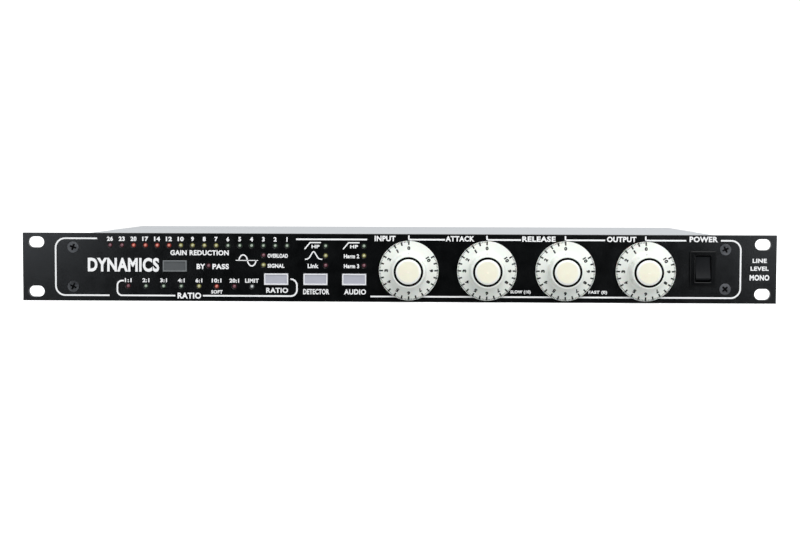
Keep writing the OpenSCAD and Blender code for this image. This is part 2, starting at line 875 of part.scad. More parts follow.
// Button cap with a dished face, a retaining flange behind the panel and its plunger
module button(x, z) {
  front = panel_front - button_proud;
  difference() {
    union() {
      plug(x, z, front, button_back, button_w, button_h);
      plug(x, z, 0.8, 2, button_w + 2 * button_flange, button_h + 2 * button_flange);
    }
    plug(x, z, front - eps, front + button_dish, button_w - 2 * button_rim, button_h - 2 * button_rim);
  }
  rod(x, z, button_back - 0.5, plunger_end, plunger_d);
}

module bypass_button() {
  color([0.3, 0.3, 0.31]) button(bypass_x, bypass_z);
}

module ratio_button() {
  color([0.72, 0.73, 0.77]) button(ratio_x, button_z);
}

module detector_button() {
  color([0.72, 0.73, 0.77]) button(detector_x, button_z);
}

module audio_button() {
  color([0.72, 0.73, 0.77]) button(audio_x, button_z);
}

// Sprung key switches on the control board, one behind each button
module key_switches() {
  color([0.15, 0.15, 0.16])
  for (p = button_places)
    difference() {
      plug(p[0], p[1], key_front, control_y, key_w, key_w);
      rod(p[0], p[1], key_front - eps, key_floor, plunger_d + 0.5);
    }
}

module power_switch() {
  inner_w = rocker_w + 2 * rocker_gap;
  inner_h = 2 * (rocker_r + rocker_gap);
  color([0.07, 0.07, 0.08]) {
    difference() {
      union() {
        round_plate(power_x, power_z, panel_front - bezel_t, panel_front, bezel_w, bezel_h, 1);
        plug(power_x, power_z, panel_front - 0.5, switch_back, switch_w, switch_h);
      }
      plug(power_x, power_z, panel_front - bezel_t - eps, switch_back - 8, inner_w, inner_h);
      translate([power_x - switch_w / 2 - eps, rocker_pivot_y, power_z])
        rotate([0, 90, 0]) cylinder(d = rocker_pin_d + 0.1, h = switch_w + 2 * eps);
    }
    for (s = [-1, 1])
      plug(power_x + s * wire_spread, wire_z, switch_back - 0.5, switch_back + switch_tab_l, 0.8, 6.3);
  }
}

// Rocker with curved ends about its pivot, a dished front and two pivot pins
module rocker_shape() {
  edge = rocker_r + eps;
  dish_y = -rocker_reach - sqrt(rocker_dish_r * rocker_dish_r - rocker_r * rocker_r);
  rotate([0, 90, 0])
    translate([0, 0, -rocker_w / 2])
      difference() {
        intersection() {
          cylinder(r = rocker_r, h = rocker_w);
          linear_extrude(rocker_w)
            polygon([
              [-edge, -edge], [edge, -edge], [edge, 0.5], [3, 1.8], [1, 6], [-1, 6], [-3, 1.8], [-edge, 0.5]
            ]);
        }
        translate([0, dish_y, -eps]) cylinder(r = rocker_dish_r, h = rocker_w + 2 * eps, $fn = 256);
      }
  pin_l = switch_w - 0.3;
  translate([-pin_l / 2, 0, 0]) rotate([0, 90, 0]) cylinder(d = rocker_pin_d, h = pin_l);
}

module power_rocker() {
  color([0.11, 0.115, 0.125])
  translate([power_x, rocker_pivot_y, power_z])
    rotate([-rocker_throw / 2, 0, 0]) rocker_shape();
}

// Skirted knob: skirt, concave flare, fluted grip, pocket for ring and cap, bore for the shaft
module knob(x) {
  face = panel_front;
  skirt_y = face - skirt_gap;
  top_y = skirt_y - skirt_edge - skirt_slope;
  front = face - knob_depth;
  outline = concat(
    [[0, skirt_y], [skirt_d / 2, skirt_y], [skirt_d / 2, skirt_y - skirt_edge]],
    [for (a = [0:15:90]) [grip_base_r + flare * (1 - sin(a)), top_y - flare * (1 - cos(a))]],
    [[grip_d / 2, front + grip_chamfer], [grip_d / 2 - grip_chamfer, front], [0, front]]
  );
  difference() {
    turned(x, knob_z, outline);
    rod(x, knob_z, bushing_front - 0.8, skirt_y + eps, nut_recess_d);
    rod(x, knob_z, front + pocket_depth - eps, skirt_y, shaft_d);
    rod(x, knob_z, front - eps, front + pocket_depth, ring_od);
    for (a = [0:60:300])
      translate([x + (grip_base_r + 0.5) * sin(a), 0, knob_z + (grip_base_r + 0.5) * cos(a)])
        rotate([90, 0, 0]) translate([0, 0, -top_y + flare]) cylinder(r = flute_r, h = knob_depth);
  }
}

module knob_ring(x) {
  front = panel_front - knob_depth;
  turned(x, knob_z, [
    [cap_d / 2, front + pocket_depth], [ring_od / 2, front + pocket_depth],
    [ring_od / 2, front + ring_inset], [cap_d / 2, front + ring_inset]
  ]);
}

module knob_cap(x) {
  front = panel_front - knob_depth;
  turned(x, knob_z, [
    [0, front + pocket_depth], [cap_d / 2, front + pocket_depth], [cap_d / 2, front - cap_edge],
    [cap_d / 2 - 1.2, front - 0.8 * cap_crown], [0, front - cap_crown]
  ]);
}

// Potentiometer shaft with its wiper disc
module shaft(x) {
  rod(x, knob_z, panel_front - knob_depth + pocket_depth, pot_y1 - 1.6, shaft_d);
  rod(x, knob_z, pot_y0 + 2, pot_y0 + 3.2, wiper_d);
}

module input_knob() {
  color([0.93, 0.94, 0.92]) knob(input_x);
}

module input_ring() {
  color([0.04, 0.04, 0.045]) knob_ring(input_x);
}

module input_cap() {
  color([0.94, 0.93, 0.86]) knob_cap(input_x);
}

module input_shaft() {
  color([0.75, 0.76, 0.78]) shaft(input_x);
}

module attack_knob() {
  color([0.93, 0.94, 0.92]) knob(attack_x);
}

module attack_ring() {
  color([0.04, 0.04, 0.045]) knob_ring(attack_x);
}

module attack_cap() {
  color([0.94, 0.93, 0.86]) knob_cap(attack_x);
}

module attack_shaft() {
  color([0.75, 0.76, 0.78]) shaft(attack_x);
}

module release_knob() {
  color([0.93, 0.94, 0.92]) knob(release_x);
}

module release_ring() {
  color([0.04, 0.04, 0.045]) knob_ring(release_x);
}

module release_cap() {
  color([0.94, 0.93, 0.86]) knob_cap(release_x);
}

module release_shaft() {
  color([0.75, 0.76, 0.78]) shaft(release_x);
}

module output_knob() {
  color([0.93, 0.94, 0.92]) knob(output_x);
}

module output_ring() {
  color([0.04, 0.04, 0.045]) knob_ring(output_x);
}

module output_cap() {
  color([0.94, 0.93, 0.86]) knob_cap(output_x);
}

module output_shaft() {
  color([0.75, 0.76, 0.78]) shaft(output_x);
}

// ---------- rear connectors ----------

// Socket outline of the mains inlet, with two cut corners
module inlet_socket(y0, y1) {
  half = inlet_socket_w / 2;
  translate([inlet_x, y1, 0])
    rotate([90, 0, 0])
      linear_extrude(y1 - y0)
        polygon([
          [-half, inlet_socket_z0], [half, inlet_socket_z0],
          [half, inlet_socket_z1 - inlet_chamfer], [half - inlet_chamfer, inlet_socket_z1],
          [inlet_chamfer - half, inlet_socket_z1], [-half, inlet_socket_z1 - inlet_chamfer]
        ]);
}

module mains_inlet() {
  color([0.06, 0.06, 0.065])
  difference() {
    union() {
      round_plate(inlet_x, socket_z, chassis_d, inlet_front, inlet_flange_w, inlet_flange_h, 3);
      plug(inlet_x, socket_z, inlet_back, chassis_d + 0.5, inlet_w, inlet_h);
    }
    inlet_socket(inlet_socket_floor, inlet_front + eps);
    for (p = inlet_pin_places)
      plug(inlet_x + p[0], p[1], inlet_back - eps, inlet_socket_floor + eps, inlet_pin_w, inlet_pin_h);
    plug(inlet_x, drawer_z, drawer_back - 1, inlet_front + eps, drawer_w + 2 * drawer_gap,
         drawer_h + 2 * drawer_gap);
    for (s = [-1, 1])
      rod(inlet_x + s * inlet_screw_pitch / 2, socket_z, chassis_d - eps, inlet_front + eps, screw_hole_d);
  }
}

module inlet_pins() {
  color([0.8, 0.78, 0.7])
  for (p = inlet_pin_places)
    plug(inlet_x + p[0], p[1], inlet_back - inlet_tab_l, inlet_front - 3, inlet_pin_w, inlet_pin_h);
}

// Drawer with a finger notch and a trough that holds the fuse
module fuse_drawer() {
  color([0.08, 0.08, 0.085])
  difference() {
    plug(inlet_x, drawer_z, drawer_back, inlet_front + 0.6, drawer_w, drawer_h);
    translate([inlet_x - fuse_l / 2 - 0.5, drawer_back + 8, drawer_z])
      rotate([0, 90, 0]) cylinder(d = fuse_d + 0.2, h = fuse_l + 1);
    block(inlet_x - fuse_l / 2 - 0.5, inlet_x + fuse_l / 2 + 0.5, drawer_back + 5.4, drawer_back + 10.6,
          drawer_z, drawer_z + drawer_h);
    plug(inlet_x, drawer_z + drawer_h / 2, inlet_front - 1.5, inlet_front + 2, 8, 3);
  }
}

module fuse() {
  color([0.85, 0.86, 0.85])
  translate([inlet_x - fuse_l / 2, drawer_back + 8, drawer_z])
    rotate([0, 90, 0]) cylinder(d = fuse_d, h = fuse_l);
}

// Flange and barrel of a round audio connector
module xlr_shell(x) {
  round_plate(x, socket_z, chassis_d, xlr_front, xlr_flange_w, xlr_flange_h, 2);
  rod(x, socket_z, xlr_back, chassis_d + 0.5, xlr_body_d);
}

module xlr_screw_holes(x) {
  for (s = [-1, 1])
    rod(x + s * xlr_screw_x, socket_z + s * xlr_screw_z, chassis_d - eps, xlr_front + eps, screw_hole_d);
}

function xlr_pin_place(x, i) =
  [x + xlr_pin_circle_r * (i - 1), i == 1 ? socket_z - xlr_pin_circle_r : socket_z];

// Socket with a contact insert, an annular gap for the plug's shell and a slot for the latch
module xlr_input() {
  color([0.1, 0.1, 0.105])
  difference() {
    union() {
      difference() {
        xlr_shell(xlr_in_x);
        rod(xlr_in_x, socket_z, xlr_cup_floor, xlr_front + eps, xlr_cup_d + 0.4);
      }
      rod(xlr_in_x, socket_z, xlr_cup_floor - 0.5, xlr_front - 0.5, xlr_insert_d);
    }
    for (i = [0:2]) {
      place = xlr_pin_place(xlr_in_x, i);
      rod(place[0], place[1], xlr_cup_floor, xlr_front + eps, xlr_contact_d);
    }
    plug(xlr_in_x, latch_z, xlr_front - 10, xlr_front + eps,
         latch_w + 2 * latch_gap, latch_h + 2 * latch_gap);
    xlr_screw_holes(xlr_in_x);
  }
}

module xlr_latch() {
  color([0.72, 0.73, 0.75])
  plug(xlr_in_x, latch_z, xlr_front - 7.5, xlr_front + 1.6, latch_w, latch_h);
}

// Cup with a closed floor that carries the three pins
module xlr_output() {
  color([0.1, 0.1, 0.105])
  difference() {
    xlr_shell(xlr_out_x);
    rod(xlr_out_x, socket_z, xlr_cup_floor, xlr_front + eps, xlr_cup_d);
    for (i = [0:2]) {
      place = xlr_pin_place(xlr_out_x, i);
      rod(place[0], place[1], xlr_back - eps, xlr_cup_floor + eps, xlr_pin_d);
    }
    xlr_screw_holes(xlr_out_x);
  }
}

module xlr_pins() {
  color([0.83, 0.72, 0.4])
  for (i = [0:2]) {
    place = xlr_pin_place(xlr_out_x, i);
    rod(place[0], place[1], xlr_back - 6, xlr_front - 2.5, xlr_pin_d);
    translate([place[0], xlr_front - 2.5, place[1]]) sphere(d = xlr_pin_d);
  }
}

module jack_sockets() {
  color([0.12, 0.12, 0.13])
  for (x = jack_xs)
    difference() {
      union() {
        plug(x, socket_z, jack_back, rear_inner, jack_body_w, jack_body_w);
        rod(x, socket_z, rear_inner - 0.5, jack_front, jack_bushing_d);
      }
      rod(x, socket_z, jack_front - jack_bore_l, jack_front + eps, jack_bore_d);
    }
}

front_panel();
flat_head_screws();
left_side();
right_side();
chassis_floor();
top_cover();
rear_panel();
m3_screws();
main_board();
board_spacers();
control_board();
ribbon_cable();
mains_wires();
transformer();
transformer_plate();
transformer_bolt();
heat_sink();
regulators();
capacitors();
audio_chips();
relays();
potentiometers();
bushing_nuts();
dim_red_lamps();
lit_red_lamps();
yellow_lamps();
green_lamps();
clear_lamp();
bypass_button();
ratio_button();
detector_button();
audio_button();
key_switches();
power_switch();
power_rocker();
mains_inlet();
inlet_pins();
fuse_drawer();
fuse();
xlr_input();
xlr_latch();
xlr_output();
xlr_pins();
jack_sockets();
input_knob();
input_ring();
input_cap();
input_shaft();
attack_knob();
attack_ring();
attack_cap();
attack_shaft();
release_knob();
release_ring();
release_cap();
release_shaft();
output_knob();
output_ring();
output_cap();
output_shaft();
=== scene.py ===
"""Looks of a one-unit rack compressor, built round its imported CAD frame."""

import json
import math

import bmesh
import bpy
from mathutils import Matrix, Vector
from mathutils.bvhtree import BVHTree


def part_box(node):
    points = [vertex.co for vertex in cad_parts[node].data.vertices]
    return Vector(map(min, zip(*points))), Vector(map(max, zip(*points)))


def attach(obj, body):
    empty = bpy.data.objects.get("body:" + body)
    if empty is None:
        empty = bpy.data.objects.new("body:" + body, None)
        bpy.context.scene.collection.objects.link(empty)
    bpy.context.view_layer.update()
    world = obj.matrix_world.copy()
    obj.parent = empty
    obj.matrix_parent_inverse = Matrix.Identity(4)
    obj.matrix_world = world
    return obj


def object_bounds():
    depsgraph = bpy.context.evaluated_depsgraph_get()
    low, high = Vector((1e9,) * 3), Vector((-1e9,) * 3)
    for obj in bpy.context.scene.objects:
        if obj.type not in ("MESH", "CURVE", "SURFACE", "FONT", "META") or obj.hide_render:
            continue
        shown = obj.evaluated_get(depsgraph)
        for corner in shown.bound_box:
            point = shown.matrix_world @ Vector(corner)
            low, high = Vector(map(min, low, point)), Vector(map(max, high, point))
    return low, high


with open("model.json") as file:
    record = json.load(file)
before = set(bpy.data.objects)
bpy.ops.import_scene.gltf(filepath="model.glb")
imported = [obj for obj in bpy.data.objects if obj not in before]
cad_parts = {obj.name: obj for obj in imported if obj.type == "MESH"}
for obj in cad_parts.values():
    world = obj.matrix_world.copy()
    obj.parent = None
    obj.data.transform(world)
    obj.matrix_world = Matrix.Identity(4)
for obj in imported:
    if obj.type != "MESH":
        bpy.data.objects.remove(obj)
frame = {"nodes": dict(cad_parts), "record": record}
cad_low, cad_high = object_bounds()

MM = 0.001
NODES = frame["nodes"]
ROOT = "chassis"
KNOBS = ("input", "attack", "release", "output")
LAMP_NODES = ("dim_red_lamps", "lit_red_lamps", "yellow_lamps", "green_lamps", "clear_lamp")


# ---------- where things are, read from the frame ----------

PANEL_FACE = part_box("front_panel")[0].y
REAR_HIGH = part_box("rear_panel")[1]
LENS_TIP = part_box("green_lamps")[0].y

# A point of a lamp at least this far in front of the panel belongs to its tip, in metres
LAMP_PROUD = 0.3 * MM
# Tips closer together than this are one lamp, in millimetres
LAMP_APART = 4
# Lamps whose heights differ by less than this are in one row, in millimetres
ROW_HEIGHT = 1


def spot_of(node):
    """Middle of a node seen from the front: x and z in millimetres."""
    low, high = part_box(node)
    middle = (low + high) / 2 / MM
    return Vector((middle.x, middle.z))


def lamp_spots():
    """Middle of every lamp seen from the front, in millimetres, from left to right."""
    clusters = []
    for node in LAMP_NODES:
        tips = [v.co for v in NODES[node].data.vertices if v.co.y < PANEL_FACE - LAMP_PROUD]
        for tip in tips:
            place = Vector((tip.x, tip.z)) / MM
            near = next((c for c in clusters if (c[0] - place).length < LAMP_APART), None)
            if near:
                near.append(place)
            else:
                clusters.append([place])
    middles = []
    for places in clusters:
        xs = [place.x for place in places]
        zs = [place.y for place in places]
        middles.append(Vector(((min(xs) + max(xs)) / 2, (min(zs) + max(zs)) / 2)))
    return sorted(middles, key=lambda middle: middle.x)


def top_row(spots):
    """The lamps level with the highest one."""
    top = max(spot.y for spot in spots)
    return [spot for spot in spots if spot.y > top - ROW_HEIGHT]


def bottom_row(spots):
    """The lamps level with the lowest one."""
    low = min(spot.y for spot in spots)
    return [spot for spot in spots if spot.y < low + ROW_HEIGHT]


# ---------- node graphs ----------

# Sockets of a Mix node that mixes colours
MIX_FACTOR = 0
MIX_FIRST = 6
MIX_SECOND = 7
MIX_RESULT = 2

# Levels between which nearly all of a noise pattern lies
NOISE_LOW = 0.3
NOISE_HIGH = 0.7

# Scale of a textured finish's wide mottle against its fine grain
MOTTLE = 0.05

# Scale and tone of the mottle in a finish coloured by depth
DEPTH_MOTTLE = 260
DEPTH_TONE = 0.04


def new_material(name, colour, rough, metallic=0.0, **sockets):
    """Principled material with constant values set straight on the shader's sockets."""
    material = bpy.data.materials.new(name)
    material.use_nodes = True
    tree = material.node_tree
    shader = tree.nodes["Principled BSDF"]
    shader.inputs["Base Color"].default_value = (*colour, 1)
    shader.inputs["Roughness"].default_value = rough
    shader.inputs["Metallic"].default_value = metallic
    for socket, value in sockets.items():
        shader.inputs[socket.replace("_", " ")].default_value = value
    return material, tree, shader


def object_coords(tree, stretch=(1, 1, 1)):
    """Object-space coordinates, stretched, so that a pattern stays on its moving part."""
    coords = tree.nodes.new("ShaderNodeTexCoord")
    mapping = tree.nodes.new("ShaderNodeMapping")
    mapping.inputs["Scale"].default_value = stretch
    tree.links.new(coords.outputs["Object"], mapping.inputs["Vector"])
    return mapping.outputs["Vector"]


def noise(tree, scale, detail=3.0, stretch=(1, 1, 1)):
    """Noise pattern from 0 to 1 in object space."""
    texture = tree.nodes.new("ShaderNodeTexNoise")
    texture.inputs["Scale"].default_value = scale
    texture.inputs["Detail"].default_value = detail
    tree.links.new(object_coords(tree, stretch), texture.inputs["Vector"])
    return texture.outputs["Fac"]


def ramp(tree, value, low, high, low_out, high_out, interpolation="SMOOTHSTEP"):
    """Takes a value from one range to another, and holds it at the ends."""
    node = tree.nodes.new("ShaderNodeMapRange")
    node.interpolation_type = interpolation
    node.inputs["From Min"].default_value = low
    node.inputs["From Max"].default_value = high
    node.inputs["To Min"].default_value = low_out
    node.inputs["To Max"].default_value = high_out
    tree.links.new(value, node.inputs["Value"])
    return node.outputs["Result"]


def spread(tree, pattern, low, high):
    """Spreads a noise pattern evenly over a range of values."""
    return ramp(tree, pattern, NOISE_LOW, NOISE_HIGH, low, high, "LINEAR")


def mix_colours(tree, factor, first, second):
    """Mixes two colours, each of them a colour or another node's output."""
    node = tree.nodes.new("ShaderNodeMix")
    node.data_type = "RGBA"
    tree.links.new(factor, node.inputs[MIX_FACTOR])
    for socket, colour in ((MIX_FIRST, first), (MIX_SECOND, second)):
        if isinstance(colour, bpy.types.NodeSocket):
            tree.links.new(colour, node.inputs[socket])
        else:
            node.inputs[socket].default_value = (*colour, 1)
    return node.outputs[MIX_RESULT]


def mottle(tree, pattern, colour, tone):
    """A colour that wanders a little darker and lighter with a pattern."""
    darker = tuple(c * (1 - tone) for c in colour)
    lighter = tuple(min(1.0, c * (1 + tone)) for c in colour)
    return mix_colours(tree, pattern, darker, lighter)


def depth_behind(tree, front_y, fade):
    """0 at the front of a part and 1 further back; fade gives the two depths behind front_y."""
    place = tree.nodes.new("ShaderNodeSeparateXYZ")
    tree.links.new(object_coords(tree), place.inputs["Vector"])
    return ramp(tree, place.outputs["Y"], front_y + fade[0], front_y + fade[1], 0, 1)


def add_bump(tree, shader, height, strength, distance):
    """Relief from a pattern; distance is its depth in metres."""
    bump = tree.nodes.new("ShaderNodeBump")
    bump.inputs["Strength"].default_value = strength
    bump.inputs["Distance"].default_value = distance
    tree.links.new(height, bump.inputs["Height"])
    tree.links.new(bump.outputs["Normal"], shader.inputs["Normal"])


# ---------- kinds of finish ----------

# Depths, behind a part's front, between which its colour changes: cream to white on the caps; elsewhere
# painted light, a painted highlight on lens tips and key rims and painted shade on lens rims and in screw
# recesses
LENS_PAINTED_LIGHT_FADE = (0.02 * MM, 0.35 * MM)
CAP_FADE = (0.18 * MM, 0.28 * MM)
KEY_HIGHLIGHT_FADE = (0.05 * MM, 0.2 * MM)
RECESS_SHADE_FADE = (0.3 * MM, 0.6 * MM)


def textured(name, colour, rough, metallic=0.0, grain=900.0, stretch=(1, 1, 1), tone=0.12,
             rough_spread=0.08, bump=0.2, depth=0.05 * MM, **sockets):
    """A finish with mottled colour, uneven roughness and a fine grain in relief."""
    material, tree, shader = new_material(name, colour, rough, metallic, **sockets)
    wide = noise(tree, grain * MOTTLE, 4.0, stretch)
    fine = noise(tree, grain, 2.0, stretch)
    base = mottle(tree, spread(tree, wide, 0, 1), colour, tone)
    uneven = spread(tree, wide, rough - rough_spread, rough + rough_spread)
    tree.links.new(base, shader.inputs["Base Color"])
    tree.links.new(uneven, shader.inputs["Roughness"])
    add_bump(tree, shader, fine, bump, depth)
    return material


def banded(name, first, second, pitch, axis, rough):
    """Stripes across an axis, such as a ribbon's cores or the turns of a winding."""
    material, tree, shader = new_material(name, first, rough)
    wave = tree.nodes.new("ShaderNodeTexWave")
    wave.bands_direction = axis
    # A wave texture of scale 1 repeats every pi / 10 metres
    wave.inputs["Scale"].default_value = math.pi / (10 * pitch)
    wave.inputs["Distortion"].default_value = 0.4
    tree.links.new(object_coords(tree), wave.inputs["Vector"])
    tree.links.new(mix_colours(tree, wave.outputs["Fac"], first, second), shader.inputs["Base Color"])
    add_bump(tree, shader, wave.outputs["Fac"], 0.4, 0.1 * MM)
    return material


def board_finish():
    """Solder mask over copper tracks, with a fine woven relief."""
    mask = (0.015, 0.11, 0.05)
    material, tree, shader = new_material("solder_mask", mask, 0.32)
    tracks = tree.nodes.new("ShaderNodeTexBrick")
    tracks.inputs["Scale"].default_value = 180
    tracks.inputs["Mortar Size"].default_value = 0.03
    tracks.inputs["Color1"].default_value = (*mask, 1)
    tracks.inputs["Color2"].default_value = (0.012, 0.085, 0.04, 1)
    tracks.inputs["Mortar"].default_value = (0.05, 0.2, 0.09, 1)
    tree.links.new(object_coords(tree), tracks.inputs["Vector"])
    tree.links.new(tracks.outputs["Color"], shader.inputs["Base Color"])
    add_bump(tree, shader, tracks.outputs["Fac"], 0.3, 0.03 * MM)
    return material


def by_depth(tree, shader, front, deep, front_y, fade):
    """Gives a part one mottled colour at its front and another further back."""
    sides = [mottle(tree, noise(tree, DEPTH_MOTTLE), colour, DEPTH_TONE) for colour in (front, deep)]
    base = mix_colours(tree, depth_behind(tree, front_y, fade), *sides)
    tree.links.new(base, shader.inputs["Base Color"])


def lens(name, rim_shade, tip, glow, strength):
    """Diffused lamp lens: cloudy and glossy, its rim darkened as painted shade and its tip paled as a painted
    highlight.
    """
    material, tree, shader = new_material(name, tip, 0.22, Coat_Weight=0.5, Coat_Roughness=0.1)
    # Painted light: a pale painted highlight at the tip, fading to painted shade at the rim
    by_depth(tree, shader, tip, rim_shade, LENS_TIP, LENS_PAINTED_LIGHT_FADE)
    shader.inputs["Emission Color"].default_value = (*glow, 1)
    shader.inputs["Emission Strength"].default_value = strength
    add_bump(tree, shader, noise(tree, 1500, 2.0), 0.1, 0.03 * MM)
    return material


def rimmed(name, front, deep, rough, front_y, fade, **sockets):
    """Moulded plastic whose raised front and deeper parts differ in colour: a second colour on the caps, and
    a painted highlight on the raised rims of the keys.
    """
    material, tree, shader = new_material(name, front, rough, **sockets)
    by_depth(tree, shader, front, deep, front_y, fade)
    uneven = spread(tree, noise(tree, 60, 4.0), rough - 0.04, rough + 0.04)
    tree.links.new(uneven, shader.inputs["Roughness"])
    add_bump(tree, shader, noise(tree, 1800, 2.0), 0.12, 0.03 * MM)
    return material


def recessed_screw(name, front_y):
    """Worn black oxide: a steely head, with painted shade darkening its cross recess."""
    material = textured(name, (0.125, 0.127, 0.133), 0.32, 0.9, grain=1400, tone=0.5, bump=0.4)
    tree = material.node_tree
    base = tree.nodes["Principled BSDF"].inputs["Base Color"]
    head = base.links[0].from_socket
    # Painted shade: the cross recess turns near-black behind the head's face
    recess_shade = depth_behind(tree, front_y, RECESS_SHADE_FADE)
    tree.links.new(mix_colours(tree, recess_shade, head, (0.0015, 0.0015, 0.002)), base)
    return material


def glass_finish():
    """Clear tube glass, very slightly wavy."""
    material, tree, shader = new_material("fuse_glass", (0.9, 0.92, 0.91), 0.05, Transmission_Weight=0.9)
    add_bump(tree, shader, noise(tree, 400), 0.05, 0.02 * MM)
    return material


# ---------- the finishes ----------

def panel_finishes():
    """Front panel, its print and its screws."""
    screw_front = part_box("flat_head_screws")[0].y
    return {
        "panel": textured("panel_powder_coat", (0.0014, 0.0018, 0.0021), 0.21, grain=2600, tone=0.2,
                          rough_spread=0.03, bump=0.12, depth=0.02 * MM, Specular_IOR_Level=0.5),
        "ink": textured("legend_ink", (0.92, 0.92, 0.925), 0.5, grain=3000, tone=0.03, bump=0.15),
        "panel_screw": recessed_screw("panel_screw_oxide", screw_front),
    }


def case_finishes():
    """Sheets of the case and the screws that hold them."""
    return {
        "black_screw": textured("screw_black_oxide", (0.055, 0.057, 0.062), 0.34, 0.8, grain=1800, tone=0.25),
        "zinc": textured("zinc_sheet", (0.55, 0.57, 0.6), 0.36, 1.0, grain=1500, stretch=(0.08, 1, 1),
                         tone=0.08),
        "cover": textured("cover_brushed", (0.44, 0.455, 0.475), 0.48, 0.4, grain=1500,
                          stretch=(0.04, 1, 1), tone=0.07, rough_spread=0.07, bump=0.25, depth=0.03 * MM),
        "rear": textured("rear_satin_black", (0.014, 0.0145, 0.016), 0.42, grain=2400, tone=0.2, bump=0.3),
    }


def inner_finishes():
    """Everything inside the case."""
    return {
        "board": board_finish(),
        "brass": textured("brass_plate", (0.72, 0.55, 0.26), 0.3, 1.0, grain=1500, tone=0.1),
        "ribbon": banded("ribbon_cable", (0.25, 0.26, 0.28), (0.42, 0.43, 0.46), 1.27 * MM, "X", 0.5),
        "wire": textured("wire_sleeve", (0.13, 0.055, 0.03), 0.38, grain=800),
        "winding": banded("winding_tape", (0.5, 0.36, 0.06), (0.62, 0.47, 0.12), 9 * MM, "DIAGONAL", 0.34),
        "sink": textured("sink_anodised", (0.035, 0.035, 0.038), 0.45, 0.6, grain=1600,
                         stretch=(1, 0.1, 1)),
        "chip": textured("chip_epoxy", (0.02, 0.02, 0.022), 0.55, grain=2500, tone=0.3),
        "can": textured("can_sleeve", (0.02, 0.045, 0.15), 0.28, grain=900, Coat_Weight=0.3),
        "relay": textured("relay_shell", (0.72, 0.69, 0.58), 0.35, grain=1200, tone=0.04),
        "pot": textured("pot_case", (0.1, 0.105, 0.11), 0.4, 0.5, grain=1500),
        "nickel": textured("nickel_plate", (0.62, 0.61, 0.58), 0.22, 1.0, grain=1200, tone=0.06, bump=0.1),
    }


def knob_finishes():
    """Dials with their rings, caps and print."""
    cap_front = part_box("input_cap")[0].y
    return {
        "knob": textured("knob_white", (0.84, 0.86, 0.81), 0.3, grain=700, tone=0.04, rough_spread=0.04,
                         bump=0.08, depth=0.03 * MM, Coat_Weight=0.15, Subsurface_Weight=0.06,
                         Subsurface_Scale=1 * MM),
        "ring": textured("ring_black", (0.0015, 0.0015, 0.0018), 0.6, grain=1500, tone=0.3, bump=0.1,
                         Specular_IOR_Level=0.08),
        "cap": rimmed("cap_cream", (0.91, 0.88, 0.717), (0.92, 0.92, 0.88), 0.32, cap_front, CAP_FADE,
                      Subsurface_Weight=0.06, Subsurface_Scale=1 * MM),
        "dial_ink": textured("dial_ink", (0.002, 0.002, 0.0022), 0.5, grain=3000, tone=0.2, bump=0.1,
                             Specular_IOR_Level=0.15),
    }


def key_finishes():
    """Push buttons and the power switch."""
    bypass_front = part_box("bypass_button")[0].y
    pale_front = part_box("audio_button")[0].y
    return {
        # The lighter front colours of both keys are painted highlights on their raised rims
        "dark_key": rimmed("key_dark", (0.15, 0.16, 0.165), (0.078, 0.084, 0.088), 0.48, bypass_front,
                           KEY_HIGHLIGHT_FADE),
        "pale_key": rimmed("key_pale", (0.8, 0.8, 0.82), (0.44, 0.445, 0.505), 0.4, pale_front, KEY_HIGHLIGHT_FADE),
        "switch": textured("switch_nylon", (0.011, 0.0115, 0.013), 0.42, grain=2000, tone=0.25, bump=0.3),
        "bezel": textured("bezel_gloss", (0.0012, 0.0015, 0.0018), 0.22, grain=2000, tone=0.25,
                          rough_spread=0.03, bump=0.1, depth=0.02 * MM, Specular_IOR_Level=0.22),
        "rocker": textured("rocker_satin", (0.0085, 0.0092, 0.0105), 0.4, grain=1500, tone=0.2, bump=0.12,
                           Specular_IOR_Level=0.09),
    }


def connector_finishes():
    """Sockets at the back, and the fuse."""
    return {
        "socket": textured("socket_moulding", (0.012, 0.012, 0.013), 0.45, grain=2200, tone=0.25, bump=0.3),
        "tin": textured("blade_tin", (0.7, 0.68, 0.62), 0.28, 1.0, grain=1600, stretch=(1, 0.1, 1),
                        tone=0.06),
        "shell": textured("shell_black_chrome", (0.03, 0.03, 0.032), 0.3, 0.7, grain=1600, tone=0.2),
        "glass": glass_finish(),
    }


# Colour of each lens at its rim, darkened as painted shade, and at its tip, paled as a painted highlight,
# colour of its glow, and the glow's strength
LENSES = {
    "dim_red": ((0.065, 0.007, 0.016), (0.19, 0.075, 0.1), (1, 0.05, 0.03), 0.005),
    "lit_red": ((0.24, 0.016, 0.009), (0.66, 0.25, 0.18), (1, 0.06, 0.03), 0.03),
    "yellow": ((0.2, 0.19, 0.05), (0.52, 0.53, 0.32), (1, 0.75, 0.2), 0.01),
    "green": ((0.03, 0.055, 0.032), (0.4, 0.46, 0.38), (0.4, 1, 0.5), 0.005),
    "clear": ((0.11, 0.115, 0.115), (0.58, 0.6, 0.6), (1, 1, 1), 0.005),
}


def lens_finishes():
    """Lamps, by the colour of their lens."""
    return {colour: lens(f"lens_{colour}", *look) for colour, look in LENSES.items()}


def make_materials():
    """Every finish by its short name."""
    groups = (panel_finishes, case_finishes, inner_finishes, knob_finishes, key_finishes,
              connector_finishes, lens_finishes)
    materials = {}
    for group in groups:
        materials.update(group())
    return materials


# ---------- finishes and rounded edges on the CAD nodes ----------

